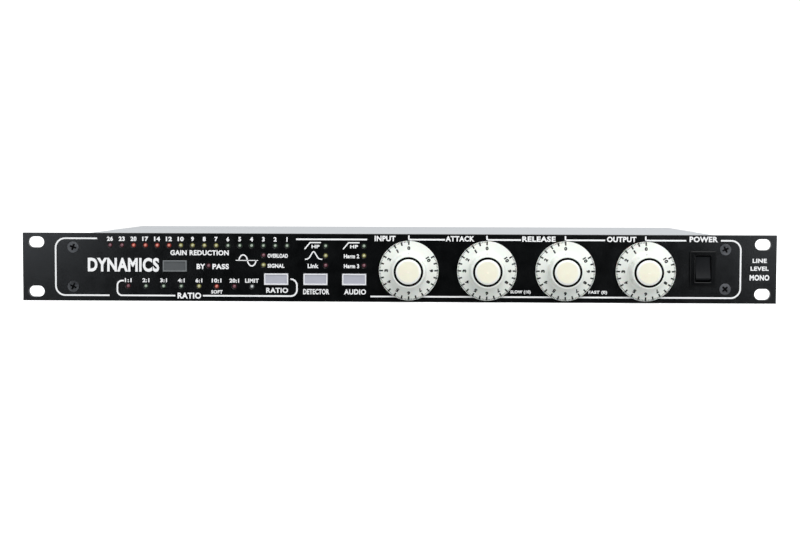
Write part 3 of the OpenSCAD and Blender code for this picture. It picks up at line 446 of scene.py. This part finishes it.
NODE_FINISH = {
    "front_panel": "panel", "flat_head_screws": "panel_screw", "m3_screws": "black_screw",
    "left_side": "zinc", "right_side": "zinc", "chassis_floor": "zinc", "top_cover": "cover",
    "rear_panel": "rear", "main_board": "board", "control_board": "board", "board_spacers": "brass",
    "ribbon_cable": "ribbon", "mains_wires": "wire", "transformer": "winding",
    "transformer_plate": "zinc", "transformer_bolt": "nickel", "heat_sink": "sink",
    "regulators": "chip", "capacitors": "can", "audio_chips": "chip", "relays": "relay",
    "potentiometers": "pot", "bushing_nuts": "nickel", "dim_red_lamps": "dim_red",
    "lit_red_lamps": "lit_red", "yellow_lamps": "yellow", "green_lamps": "green",
    "clear_lamp": "clear", "bypass_button": "dark_key", "ratio_button": "pale_key",
    "detector_button": "pale_key", "audio_button": "pale_key", "key_switches": "switch",
    "power_switch": "bezel", "power_rocker": "rocker", "mains_inlet": "socket",
    "inlet_pins": "tin", "fuse_drawer": "socket", "fuse": "glass", "xlr_input": "shell",
    "xlr_latch": "nickel", "xlr_output": "shell", "xlr_pins": "brass", "jack_sockets": "socket",
}
for knob in KNOBS:
    NODE_FINISH[f"{knob}_knob"] = "knob"
    NODE_FINISH[f"{knob}_ring"] = "ring"
    NODE_FINISH[f"{knob}_cap"] = "cap"
    NODE_FINISH[f"{knob}_shaft"] = "nickel"

# How far each node's sharp edges are rounded, in millimetres
EDGE_ROUND = {
    "front_panel": 0.25, "top_cover": 0.4, "rear_panel": 0.2, "bypass_button": 0.22,
    "ratio_button": 0.22, "detector_button": 0.22, "audio_button": 0.22, "power_switch": 0.45,
    "power_rocker": 0.35, "mains_inlet": 0.4, "fuse_drawer": 0.25, "xlr_input": 0.25,
    "xlr_output": 0.25, "xlr_latch": 0.3, "inlet_pins": 0.2, "flat_head_screws": 0.08,
    "m3_screws": 0.12, "bushing_nuts": 0.15,
}

# Triangles that turn less than the first angle are one flat face; an edge that turns more than the
# second one is sharp
WELD_DISTANCE = 0.002 * MM
FLAT_WITHIN = math.radians(0.5)
SHARP_FROM = math.radians(50)


def round_edges(thing, width):
    """Joins the triangles of each flat face into one, then rounds the sharp edges between faces."""
    weld = thing.modifiers.new("weld", "WELD")
    weld.merge_threshold = WELD_DISTANCE
    whole = thing.modifiers.new("whole_faces", "DECIMATE")
    whole.decimate_type = "DISSOLVE"
    whole.angle_limit = FLAT_WITHIN
    bevel = thing.modifiers.new("edges", "BEVEL")
    bevel.width = width
    bevel.segments = 2
    bevel.limit_method = "ANGLE"
    bevel.angle_limit = SHARP_FROM
    bevel.use_clamp_overlap = False
    bevel.face_strength_mode = "FSTR_ALL"
    smooth = thing.modifiers.new("normals", "WEIGHTED_NORMAL")
    smooth.keep_sharp = True
    smooth.use_face_influence = True


def finish_nodes(materials):
    """Gives every CAD node its material, and rounds the edges that catch the light."""
    for name, thing in NODES.items():
        thing.data.materials.clear()
        thing.data.materials.append(materials[NODE_FINISH[name]])
        if name in EDGE_ROUND:
            round_edges(thing, EDGE_ROUND[name] * MM)


# ---------- printing: flat drawings in millimetres, made into closed films of ink ----------

# Ink stands out of its surface by the film, and starts below it by the bite
INK_FILM = 0.03 * MM
INK_BITE = 0.01 * MM

# Points closer than this in a drawing, in millimetres, and then in a finished piece, in metres, are one
SAME_POINT = 1e-5
SAME_VERTEX = 1e-7

# Spacing of letters, and steps in each curve of a letter
LETTER_SPACING = 1.08
LETTER_STEPS = 4

# How much letters are fattened, as a part of the typeface's size
BOLD = 0.038
TITLE_BOLD = 0.04
SMALL_BOLD = 0.042
NUMBER_BOLD = 0.045
DIGIT_BOLD = 0.07

# Least cosine of half a corner's turn, so that a sharp corner of a line doesn't end in a spike
LEAST_MITRE = 0.3
# Steps in the arc at each rounded corner
ARC_STEPS = 6


def letters(text, bold):
    """Outline of a word as flat triangles in X and Y, with its lower left corner at the origin."""
    curve = bpy.data.curves.new("word", "FONT")
    curve.body = text
    curve.offset = bold
    curve.space_character = LETTER_SPACING
    curve.resolution_u = LETTER_STEPS
    holder = bpy.data.objects.new("word", curve)
    bpy.context.scene.collection.objects.link(holder)
    bpy.context.view_layer.update()
    graph = bpy.context.evaluated_depsgraph_get()
    mesh = bpy.data.meshes.new_from_object(holder.evaluated_get(graph))
    bpy.data.objects.remove(holder)
    xs = [v.co.x for v in mesh.vertices]
    ys = [v.co.y for v in mesh.vertices]
    mesh.transform(Matrix.Translation((-min(xs), -min(ys), 0)))
    return mesh, max(xs) - min(xs), max(ys) - min(ys)


def word(bm, text, x, z, height, width=None, turn=0.0, bold=BOLD, align=0.5):
    """Adds a flat word to a drawing. x and z are its middle, or the middle of its left edge with align 0."""
    mesh, w, h = letters(text, bold)
    tall = height / h
    wide = width / w if width else tall
    place = (
        Matrix.Translation((x, z, 0))
        @ Matrix.Rotation(turn, 4, "Z")
        @ Matrix.Diagonal((wide, tall, 1, 1))
        @ Matrix.Translation((-w * align, -h / 2, 0))
    )
    mesh.transform(place)
    bm.from_mesh(mesh)
    bpy.data.meshes.remove(mesh)


def words(bm, spot, rows, bold=BOLD, align=0.5):
    """Adds words round a spot. Each row is a text, its shift right and up, its height and its width."""
    for text, right, up, height, width in rows:
        word(bm, text, spot.x + right, spot.y + up, height, width, bold=bold, align=align)


def stroke(bm, points, width):
    """Adds a flat line of even width along points."""
    path = [Vector(p) for p in points]
    sides = []
    for i, point in enumerate(path):
        before = path[max(i - 1, 0)]
        after = path[min(i + 1, len(path) - 1)]
        way_in = (point - before).normalized() if i else (after - point).normalized()
        way_out = (after - point).normalized() if i < len(path) - 1 else way_in
        along = (way_in + way_out).normalized()
        across = Vector((-along.y, along.x))
        mitre = max(LEAST_MITRE, across.dot(Vector((-way_in.y, way_in.x))))
        reach = across * width / 2 / mitre
        left = bm.verts.new((*(point + reach), 0))
        right = bm.verts.new((*(point - reach), 0))
        sides.append((left, right))
    for (a, b), (c, d) in zip(sides, sides[1:]):
        bm.faces.new((a, b, d, c))


def rounded(points, radius):
    """Replaces the inner corners of a path with arcs."""
    path = [Vector(p) for p in points]
    result = [path[0]]
    for before, corner, after in zip(path, path[1:], path[2:]):
        a = (before - corner).normalized()
        b = (after - corner).normalized()
        half = a.angle(b) / 2
        start = corner + a * radius / math.tan(half)
        end = corner + b * radius / math.tan(half)
        middle = corner + (a + b).normalized() * radius / math.sin(half)
        for i in range(ARC_STEPS + 1):
            spot = (start - middle).lerp(end - middle, i / ARC_STEPS).normalized() * radius
            result.append(middle + spot)
    result.append(path[-1])
    return result


def drop_folds(bm):
    """Removes the slivers that a fattened outline folds over itself, so that no edge has three faces."""
    crowded = [edge for edge in bm.edges if len(edge.link_faces) > 2]
    folds = {min(edge.link_faces, key=lambda face: face.calc_area()) for edge in crowded}
    bmesh.ops.delete(bm, geom=list(folds), context="FACES")


def press(name, bm, material, body, place):
    """Makes a drawing into a film of ink that rides on a body.

    place(x, z, rise) gives the point of the surface at x and z, raised by rise, all in metres.
    """
    bmesh.ops.remove_doubles(bm, verts=bm.verts, dist=SAME_POINT)
    drop_folds(bm)
    copied = bmesh.ops.extrude_face_region(bm, geom=list(bm.faces))
    raised = {v for v in copied["geom"] if isinstance(v, bmesh.types.BMVert)}
    for v in bm.verts:
        v.co = place(v.co.x * MM, v.co.y * MM, INK_FILM if v in raised else -INK_BITE)
    return to_piece(name, bm, material, body)


def to_piece(name, bm, material, body):
    """Turns a closed bmesh into a flat-shaded piece that rides on a body."""
    bmesh.ops.remove_doubles(bm, verts=bm.verts, dist=SAME_VERTEX)
    bmesh.ops.recalc_face_normals(bm, faces=bm.faces)
    for face in bm.faces:
        face.smooth = False
    mesh = bpy.data.meshes.new(name)
    bm.to_mesh(mesh)
    bm.free()
    mesh.materials.append(material)
    piece = bpy.data.objects.new(name, mesh)
    bpy.context.scene.collection.objects.link(piece)
    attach(piece, body)
    return piece


def on_panel(x, z, rise):
    """Point on the front panel."""
    return Vector((x, PANEL_FACE - rise, z))


def on_rear(x, z, rise):
    """Point on the rear panel, mirrored so that a drawing reads from behind."""
    return Vector((-x, REAR_HIGH.y + rise, z))


# ---------- front legends: places and sizes in millimetres, from the feature that they name ----------

# Height of the frame's upper and lower lines above the panel's middle, and their width
FRAME_TOP = 18.3
FRAME_BOTTOM = -18.3
FRAME_W = 1.0

# Ends of the frame's upper and lower lines, its left and right edges, and the radius of its corners
FRAME_LEFT = -220.0
FRAME_RIGHT = 218.4
FRAME_LEFT_ENDS = (-193.2, -185.4)
FRAME_RIGHT_ENDS = (205.7, -17.5)
FRAME_CORNER = 6

# The smaller frame round the ratio lamps: its shift from the first lamp and from the ratio button,
# the gap for its title, and the radius of its corners on the left and on the right
RATIO_FRAME_LEFT = -7
RATIO_FRAME_RISE = 3.4
RATIO_FRAME_START = -2.8
RATIO_FRAME_RIGHT = 13.2
RATIO_FRAME_END = 9.1
RATIO_FRAME_GAP = (-143, -125.2)
RATIO_FRAME_CORNERS = (3, 3.9)

# Words on the right ear
EAR_SPOT = Vector((230.5, 0))
EAR_WORDS = (("LINE", 0, 5.6, 2.7, 9), ("LEVEL", 0, 0.6, 2.7, 11.5))
EAR_LARGE_WORDS = (("MONO", 0, -5.2, 3.6, 12.5),)


def print_frame(materials):
    """The long rounded frame line, the smaller one round the ratio lamps, and the ear's words."""
    bm = bmesh.new()
    for edge, ends in ((FRAME_LEFT, FRAME_LEFT_ENDS), (FRAME_RIGHT, FRAME_RIGHT_ENDS)):
        corners = [(ends[0], FRAME_TOP), (edge, FRAME_TOP), (edge, FRAME_BOTTOM), (ends[1], FRAME_BOTTOM)]
        stroke(bm, rounded(corners, FRAME_CORNER), FRAME_W)
    lamp = bottom_row(lamp_spots())[0]
    left = lamp.x + RATIO_FRAME_LEFT
    rise = lamp.y + RATIO_FRAME_RISE
    start = [(lamp.x + RATIO_FRAME_START, rise), (left, rise), (left, FRAME_BOTTOM),
             (RATIO_FRAME_GAP[0], FRAME_BOTTOM)]
    stroke(bm, rounded(start, RATIO_FRAME_CORNERS[0]), FRAME_W)
    button = spot_of("ratio_button")
    right = button.x + RATIO_FRAME_RIGHT
    end = [(RATIO_FRAME_GAP[1], FRAME_BOTTOM), (right, FRAME_BOTTOM), (right, button.y),
           (button.x + RATIO_FRAME_END, button.y)]
    stroke(bm, rounded(end, RATIO_FRAME_CORNERS[1]), FRAME_W)
    words(bm, EAR_SPOT, EAR_WORDS)
    words(bm, EAR_SPOT, EAR_LARGE_WORDS, bold=NUMBER_BOLD)
    press("legend_frame", bm, materials["ink"], ROOT, on_panel)


# Words round each knob
KNOB_WORDS = {
    "input": (("INPUT", -15.2, 20.4, 3.5, 13.4),),
    "attack": (("ATTACK", -17.2, 20.4, 3.5, 18.4), ("SLOW (10)", 21.6, -13.7, 2.5, 13)),
    "release": (("RELEASE", -16.9, 20.4, 3.5, 21.3), ("FAST (0)", 20.9, -13.7, 2.5, 11.9)),
    "output": (("OUTPUT", -15.3, 20.4, 3.5, 18.7),),
}

# Index line over each knob, and how far the rule runs on from it to the right
INDEX_RISE = (19.7, 22.4)
INDEX_W = 0.9
RULE_Z = FRAME_TOP - 0.05
RULE_RUN = {"input": 23.1, "attack": 21.7, "release": 25.3, "output": 25.7}

# The power title's shift from the switch, its height above the panel's middle, and its size
POWER_SHIFT = 0.4
POWER_Z = FRAME_TOP + 0.8
POWER_SIZE = (3.6, 18)


def print_knob_titles(materials):
    """Each knob's name and index line, the rules between them, and the power switch's name."""
    bm = bmesh.new()
    for knob in KNOBS:
        spot = spot_of(f"{knob}_cap")
        words(bm, spot, KNOB_WORDS[knob])
        stroke(bm, [(spot.x, spot.y + rise) for rise in INDEX_RISE], INDEX_W)
        stroke(bm, [(spot.x + INDEX_W / 2, RULE_Z), (spot.x + RULE_RUN[knob], RULE_Z)], FRAME_W)
    word(bm, "POWER", spot_of("power_switch").x + POWER_SHIFT, POWER_Z, *POWER_SIZE)
    press("legend_knobs", bm, materials["ink"], ROOT, on_panel)


# Numbers over the gain reduction lamps: their rise, their height and the width of two digits
GAIN_NUMBERS = (26, 23, 20, 17, 14, 12, 10, 9, 8, 7, 6, 5, 4, 3, 2, 1)
GAIN_RISE = 4.1
GAIN_H = 2.9
TWO_DIGIT_W = 3.9

# Texts over the ratio lamps: their rise, their height, and their width by number of characters
RATIO_TEXTS = ("1:1", "2:1", "3:1", "4:1", "6:1", "10:1", "20:1", "LIMIT")
RATIO_RISE = 3.7
RATIO_H = 2.6
RATIO_W = {3: 4.4, 4: 6.2, 5: 8.8}

# Titles of the two rows, and the word under one ratio lamp
GAIN_TITLE = ("GAIN REDUCTION", 0.7, -4.7, 3.3, 37.6)
RATIO_TITLE = ("RATIO", -133.9, FRAME_BOTTOM, 3.9, 15.2)
SOFT_WORD = ("SOFT", 0.2, -3.6, 2.2, 7.4)
SOFT_LAMP = RATIO_TEXTS.index("10:1")


def print_scales(materials):
    """Numbers over the gain reduction lamps and over the ratio lamps, with their titles."""
    bm = bmesh.new()
    lamps = lamp_spots()
    gain_row = top_row(lamps)[:len(GAIN_NUMBERS)]
    for spot, number in zip(gain_row, GAIN_NUMBERS):
        width = TWO_DIGIT_W if number > 9 else None
        word(bm, str(number), spot.x, spot.y + GAIN_RISE, GAIN_H, width, bold=NUMBER_BOLD)
    ratio_row = bottom_row(lamps)
    for spot, text in zip(ratio_row, RATIO_TEXTS):
        word(bm, text, spot.x, spot.y + RATIO_RISE, RATIO_H, RATIO_W[len(text)])
    words(bm, (gain_row[0] + gain_row[-1]) / 2, [GAIN_TITLE])
    words(bm, Vector((0, 0)), [RATIO_TITLE])
    words(bm, ratio_row[SOFT_LAMP], [SOFT_WORD])
    press("legend_scales", bm, materials["ink"], ROOT, on_panel)


# The unit's title, beside the bypass button, and the words round the bypass lamp
UNIT_TITLE = ("DYNAMICS", -33.3, 0.6, 9, 46)
BYPASS_WORDS = (("BY", -4.9, -0.5, 3.4, 5.5), ("PASS", 7.8, -0.5, 3.4, 10.6))
# Rough way from the bypass button to its lamp
BYPASS_LAMP_SHIFT = Vector((21.5, 0))


def print_title(materials):
    """The unit's title and the bypass button's name."""
    bm = bmesh.new()
    key = spot_of("bypass_button")
    words(bm, key, [UNIT_TITLE], bold=TITLE_BOLD)
    lamp = min(lamp_spots(), key=lambda spot: (spot - key - BYPASS_LAMP_SHIFT).length)
    words(bm, lamp, BYPASS_WORDS)
    press("legend_title", bm, materials["ink"], ROOT, on_panel)


WAVE_STEPS = 28
# Below 1, the power rounds the humps of the wave
WAVE_POWER = 0.55
BELL_STEPS = 24
# Width of the bell's hump against its whole length
BELL_HUMP = 0.2


def sine(x0, x1, z, high):
    """One full wave with rounded, almost semicircular humps."""
    points = []
    for i in range(WAVE_STEPS + 1):
        swing = math.sin(2 * math.pi * i / WAVE_STEPS)
        rise = high * math.copysign(abs(swing) ** WAVE_POWER, swing)
        points.append((x0 + (x1 - x0) * i / WAVE_STEPS, z + rise))
    return points


def bell(x0, x1, z, high):
    """A bell curve on a level foot."""
    middle = (x0 + x1) / 2
    hump = BELL_HUMP * (x1 - x0)
    points = []
    for i in range(BELL_STEPS + 1):
        x = x0 + (x1 - x0) * i / BELL_STEPS
        points.append((x, z + high * math.exp(-(((x - middle) / hump) ** 2))))
    return points


# Names of the three pale buttons
KEY_TITLES = {
    "ratio_button": ("RATIO", 0.5, -7.2, 3.3, 14.1),
    "detector_button": ("DETECTOR", 0.4, -8, 3.5, 16.7),
    "audio_button": ("AUDIO", 0.5, -8, 3.4, 14.1),
}

# Small words beside the lamps over each pale button
LEVEL_WORDS = (("OVERLOAD", -5.6, 14.95, 2.6, 13), ("SIGNAL", -5.6, 8.5, 2.6, 10.8))
DETECTOR_WORDS = (("Link", -1.6, 8.55, 2.8, 7),)
AUDIO_WORDS = (("Harm 2", -1.8, 14.85, 2.7, 9.8), ("Harm 3", -1.8, 8.5, 2.7, 9.8))

# High-pass sign: its left end's shift from the detector and the audio button, its top's height above
# the detector button, its corners, and its word
PASS_SHIFTS = {"detector_button": -7.1, "audio_button": -7.2}
PASS_RISE = 23.5
PASS_SIGN = ((0, -4.2), (3.5, 0), (10.5, 0))
PASS_WORD = ("HP", 7.1, -2.5, 2.2, 5.2)
SIGN_W = 0.75

# Bell beside the detector's middle lamp: its ends, its foot and its height
BELL_ENDS = (-6.9, 4.3)
BELL_FOOT = 12.8
BELL_H = 4.9

# Wave left of the level lamps, from the ratio button: its ends, its axis and its height
WAVE_ENDS = (-24.1, -13)
WAVE_AXIS_ENDS = (-26.1, -11.7)
WAVE_Z = 11.9
WAVE_H = 3.55
WAVE_W = 0.8
WAVE_AXIS_W = 0.5

# Rule over the detector and audio lamps: its ends beyond the two buttons' middles, and its height
KEY_RULE_ENDS = (-12.5, 8.2)
KEY_RULE_Z = FRAME_TOP - 0.1


def print_keys(materials):
    """Legends round the pale buttons, their lamps and their small curves."""
    bm = bmesh.new()
    ratio = spot_of("ratio_button")
    detector = spot_of("detector_button")
    audio = spot_of("audio_button")
    for node, title in KEY_TITLES.items():
        words(bm, spot_of(node), [title])
    words(bm, ratio, LEVEL_WORDS, bold=SMALL_BOLD, align=0)
    words(bm, detector, DETECTOR_WORDS, bold=SMALL_BOLD)
    words(bm, audio, AUDIO_WORDS, bold=SMALL_BOLD)
    for node, shift in PASS_SHIFTS.items():
        corner = Vector((spot_of(node).x + shift, detector.y + PASS_RISE))
        stroke(bm, [corner + Vector(point) for point in PASS_SIGN], SIGN_W)
        words(bm, corner, [PASS_WORD])
    bell_ends = [detector.x + end for end in BELL_ENDS]
    stroke(bm, bell(*bell_ends, detector.y + BELL_FOOT, BELL_H), SIGN_W)
    wave_ends = [ratio.x + end for end in WAVE_ENDS]
    stroke(bm, sine(*wave_ends, ratio.y + WAVE_Z, WAVE_H), WAVE_W)
    stroke(bm, [(ratio.x + end, ratio.y + WAVE_Z) for end in WAVE_AXIS_ENDS], WAVE_AXIS_W)
    rule = [(detector.x + KEY_RULE_ENDS[0], KEY_RULE_Z), (audio.x + KEY_RULE_ENDS[1], KEY_RULE_Z)]
    stroke(bm, rule, FRAME_W)
    press("legend_keys", bm, materials["ink"], ROOT, on_panel)


# ---------- dials: distances from the axis in millimetres ----------

# Numbers: their distance from the axis, their height, and their width where it isn't the usual digit's
TURN_PER_NUMBER = math.radians(30)
LAST_NUMBER = 10
NUMBER_R = 14.4
NUMBER_H = 2.4
NUMBER_W = {"1": 0.95, "10": 3.3}
DIGIT_W = 1.85

MARKS_PER_NUMBER = 10
MARK_OUT = 18.85
# Inner end and width of the marks at each half number, and of the fine ones between
LONG_MARK = (16.4, 0.95)
FINE_MARK = (17.9, 0.34)

# Dot under the 0 of each dial: its distance from the axis, and its own radius
POINTER_R = 11.2
POINTER_DOT_R = 0.35
POINTER_DOT_STEPS = 16


def on_skin(node):
    """Function like on_panel that gives points on a node's front skin."""
    data = NODES[node].data
    tree = BVHTree.FromPolygons([v.co for v in data.vertices], [p.vertices for p in data.polygons])

    def place(x, z, rise):
        hit = tree.ray_cast(Vector((x, cad_low.y - 1, z)), Vector((0, 1, 0)))[0]
        return Vector((x, hit.y - rise, z))

    return place


def outwards(turn):
    """Direction from a dial's axis, turned anticlockwise from straight up."""
    return Vector((-math.sin(turn), math.cos(turn)))


def print_dial(knob, materials):
    """Numbers 0 to 10 and fine marks on the skirt, growing anticlockwise from the index."""
    middle = spot_of(f"{knob}_cap")
    bm = bmesh.new()
    for number in range(LAST_NUMBER + 1):
        turn = TURN_PER_NUMBER * number
        spot = middle + outwards(turn) * NUMBER_R
        text = str(number)
        width = NUMBER_W.get(text, DIGIT_W)
        word(bm, text, spot.x, spot.y, NUMBER_H, width, turn=turn, bold=DIGIT_BOLD)
    for mark in range(LAST_NUMBER * MARKS_PER_NUMBER + 1):
        out = outwards(TURN_PER_NUMBER * mark / MARKS_PER_NUMBER)
        start, width = LONG_MARK if mark % (MARKS_PER_NUMBER // 2) == 0 else FINE_MARK
        stroke(bm, [middle + out * start, middle + out * MARK_OUT], width)
    dot = Matrix.Translation((middle.x, middle.y + POINTER_R, 0))
    bmesh.ops.create_circle(bm, cap_ends=True, segments=POINTER_DOT_STEPS, radius=POINTER_DOT_R, matrix=dot)
    press(f"{knob}_dial_print", bm, materials["dial_ink"], f"{knob}_dial", on_skin(f"{knob}_knob"))


# ---------- rear legends, in millimetres ----------

# Words over the two balanced connectors: their drop from the rear panel's top edge, and their height
BALANCED_WORDS = {"xlr_input": "BALANCED IN", "xlr_output": "BALANCED OUT"}
BALANCED_DROP = 2.3
BALANCED_H = 1.7

# Words over the quarter-inch sockets, by mount: their rise over the sockets, and their height
JACK_WORDS = {"input_jack": "IN", "output_jack": "OUT", "link_jack": "LINK", "key_jack": "KEY"}
JACK_RISE = 11.5
JACK_H = 2.4

# The mains word: its way from the inlet's edge, and its height
MAINS_GAP = 9
MAINS_H = 3.0


def print_rear(materials):
    """Words over the rear sockets, drawn mirrored because they are read from behind."""
    bm = bmesh.new()
    mounts = {mount["name"]: Vector(mount["pos_m"]) / MM for mount in frame["record"]["mounts"]}
    for node, text in BALANCED_WORDS.items():
        word(bm, text, -spot_of(node).x, REAR_HIGH.z / MM - BALANCED_DROP, BALANCED_H)
    sockets = spot_of("jack_sockets").y
    for mount, text in JACK_WORDS.items():
        word(bm, text, -mounts[mount].x, sockets + JACK_RISE, JACK_H)
    inlet_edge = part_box("mains_inlet")[0].x / MM
    word(bm, "MAINS", MAINS_GAP - inlet_edge, sockets, MAINS_H)
    press("legend_rear", bm, materials["ink"], ROOT, on_rear)


# ---------- stage, light and camera ----------

# Length of each side of the floor in metres, and how strongly it glows
FLOOR_SIZE = 3.2
FLOOR_GLOW = 0.5

# Strength of the fill, and the part of it that is left straight in front of the panel. The dark hole
# there opens between two angles from the front.
FILL = 0.85
HOLE_LEVEL = 0.025
HOLE_INNER = math.radians(12)
HOLE_OUTER = math.radians(30)
# The fill falls off to this part of itself from above to below, between two heights of the sky
FILL_BELOW = 0.75
FILL_EDGE = 0.6
# Strength of the white that the camera sees behind the object
WHITE_SEEN = 1.1

# Name, width and height, place, power in watts and colour of each soft box, in metres
SOFT_BOXES = (
    ("key_light", (1.4, 1.0), (0.5, -0.95, 1.2), 15, (1, 1, 1)),
    ("top_light", (1.6, 1.2), (0.2, 0.6, 1.5), 8, (0.97, 0.98, 1)),
    ("left_light", (0.4, 0.6), (-0.78, -1.6, 0.24), 2.0, (0.86, 0.92, 1)),
    ("right_light", (0.4, 0.6), (0.78, -1.6, 0.24), 2.5, (0.88, 0.93, 1)),
)


def floor_material():
    """Pale paper with a faint mottle, bright enough to melt into the white behind it."""
    material, tree, shader = new_material("floor_paper", (0.9, 0.9, 0.905), 0.85)
    patches = spread(tree, noise(tree, 6), 0, 1)
    paper = mix_colours(tree, patches, (0.89, 0.89, 0.895), (0.91, 0.91, 0.91))
    tree.links.new(paper, shader.inputs["Base Color"])
    shader.inputs["Emission Color"].default_value = (1, 1, 1, 1)
    shader.inputs["Emission Strength"].default_value = FLOOR_GLOW
    return material


def make_floor():
    """Pale floor that only the camera sees, so that it isn't mirrored in the panel."""
    mesh = bpy.data.meshes.new("floor")
    half = FLOOR_SIZE / 2
    corners = [(-half, -half, 0), (half, -half, 0), (half, half, 0), (-half, half, 0)]
    mesh.from_pydata(corners, [], [(0, 1, 2, 3)])
    mesh.materials.append(floor_material())
    floor = bpy.data.objects.new("floor", mesh)
    floor.location = (0, 0, cad_low.z)
    floor.visible_glossy = False
    floor.visible_diffuse = False
    bpy.context.scene.collection.objects.link(floor)


def soft_box(name, size, place, power, colour):
    """A rectangular light that faces the origin."""
    light = bpy.data.lights.new(name, "AREA")
    light.shape = "RECTANGLE"
    light.size, light.size_y = size
    light.energy = power
    light.color = colour
    lamp = bpy.data.objects.new(name, light)
    lamp.location = place
    lamp.rotation_euler = (-Vector(place)).to_track_quat("-Z", "Y").to_euler()
    lamp.visible_camera = False
    bpy.context.scene.collection.objects.link(lamp)


def fill_strength(tree):
    """Strength of the world's fill by direction: dark straight in front, a little weaker below."""
    way = tree.nodes.new("ShaderNodeSeparateXYZ")
    tree.links.new(tree.nodes.new("ShaderNodeTexCoord").outputs["Generated"], way.inputs["Vector"])
    front = ramp(tree, way.outputs["Y"], -math.cos(HOLE_INNER), -math.cos(HOLE_OUTER),
                 HOLE_LEVEL * FILL, FILL)
    height = ramp(tree, way.outputs["Z"], -FILL_EDGE, FILL_EDGE, FILL_BELOW, 1)
    product = tree.nodes.new("ShaderNodeMath")
    product.operation = "MULTIPLY"
    tree.links.new(front, product.inputs[0])
    tree.links.new(height, product.inputs[1])
    return product.outputs["Value"]


def make_surroundings():
    """White where the camera looks, and a soft fill for everything else."""
    world = bpy.data.worlds.new("studio")
    world.use_nodes = True
    tree = world.node_tree
    tree.nodes.clear()
    fill = tree.nodes.new("ShaderNodeBackground")
    fill.inputs["Color"].default_value = (0.97, 0.985, 0.985, 1)
    tree.links.new(fill_strength(tree), fill.inputs["Strength"])
    seen = tree.nodes.new("ShaderNodeBackground")
    seen.inputs["Color"].default_value = (1, 1, 1, 1)
    seen.inputs["Strength"].default_value = WHITE_SEEN
    paths = tree.nodes.new("ShaderNodeLightPath")
    mix = tree.nodes.new("ShaderNodeMixShader")
    out = tree.nodes.new("ShaderNodeOutputWorld")
    tree.links.new(paths.outputs["Is Camera Ray"], mix.inputs["Fac"])
    tree.links.new(fill.outputs["Background"], mix.inputs[1])
    tree.links.new(seen.outputs["Background"], mix.inputs[2])
    tree.links.new(mix.outputs["Shader"], out.inputs["Surface"])
    bpy.context.scene.world = world


def build_stage():
    """Floor, surroundings and soft boxes, with colours shown as they are."""
    make_floor()
    make_surroundings()
    for box in SOFT_BOXES:
        soft_box(*box)
    bpy.context.scene.view_settings.view_transform = "Standard"
    bpy.context.scene.view_settings.look = "None"


# Place of the camera in metres, its lens and sensor in millimetres, and its turns in degrees
CAMERA_PLACE = (0.0198, -0.94, 0.0506)
CAMERA_LENS = 65.97
CAMERA_SENSOR = 36
CAMERA_YAW = 1.126
CAMERA_PITCH = -3.029
CAMERA_ROLL = 0.186
CAMERA_NEAR = 0.05
CAMERA_FAR = 50


def make_camera():
    """Camera almost straight in front of the panel, a little above its middle."""
    data = bpy.data.cameras.new("camera")
    data.sensor_width = CAMERA_SENSOR
    data.lens = CAMERA_LENS
    data.clip_start = CAMERA_NEAR
    data.clip_end = CAMERA_FAR
    camera = bpy.data.objects.new("camera", data)
    camera.matrix_world = (
        Matrix.Translation(CAMERA_PLACE)
        @ Matrix.Rotation(math.radians(CAMERA_YAW), 4, "Z")
        @ Matrix.Rotation(math.radians(90 + CAMERA_PITCH), 4, "X")
        @ Matrix.Rotation(math.radians(CAMERA_ROLL), 4, "Z")
    )
    bpy.context.scene.collection.objects.link(camera)
    bpy.context.scene.camera = camera


def main():
    """Builds the whole picture round the frame."""
    make_camera()
    materials = make_materials()
    finish_nodes(materials)
    print_frame(materials)
    print_knob_titles(materials)
    print_scales(materials)
    print_title(materials)
    print_keys(materials)
    print_rear(materials)
    for knob in KNOBS:
        print_dial(knob, materials)
    build_stage()


main()
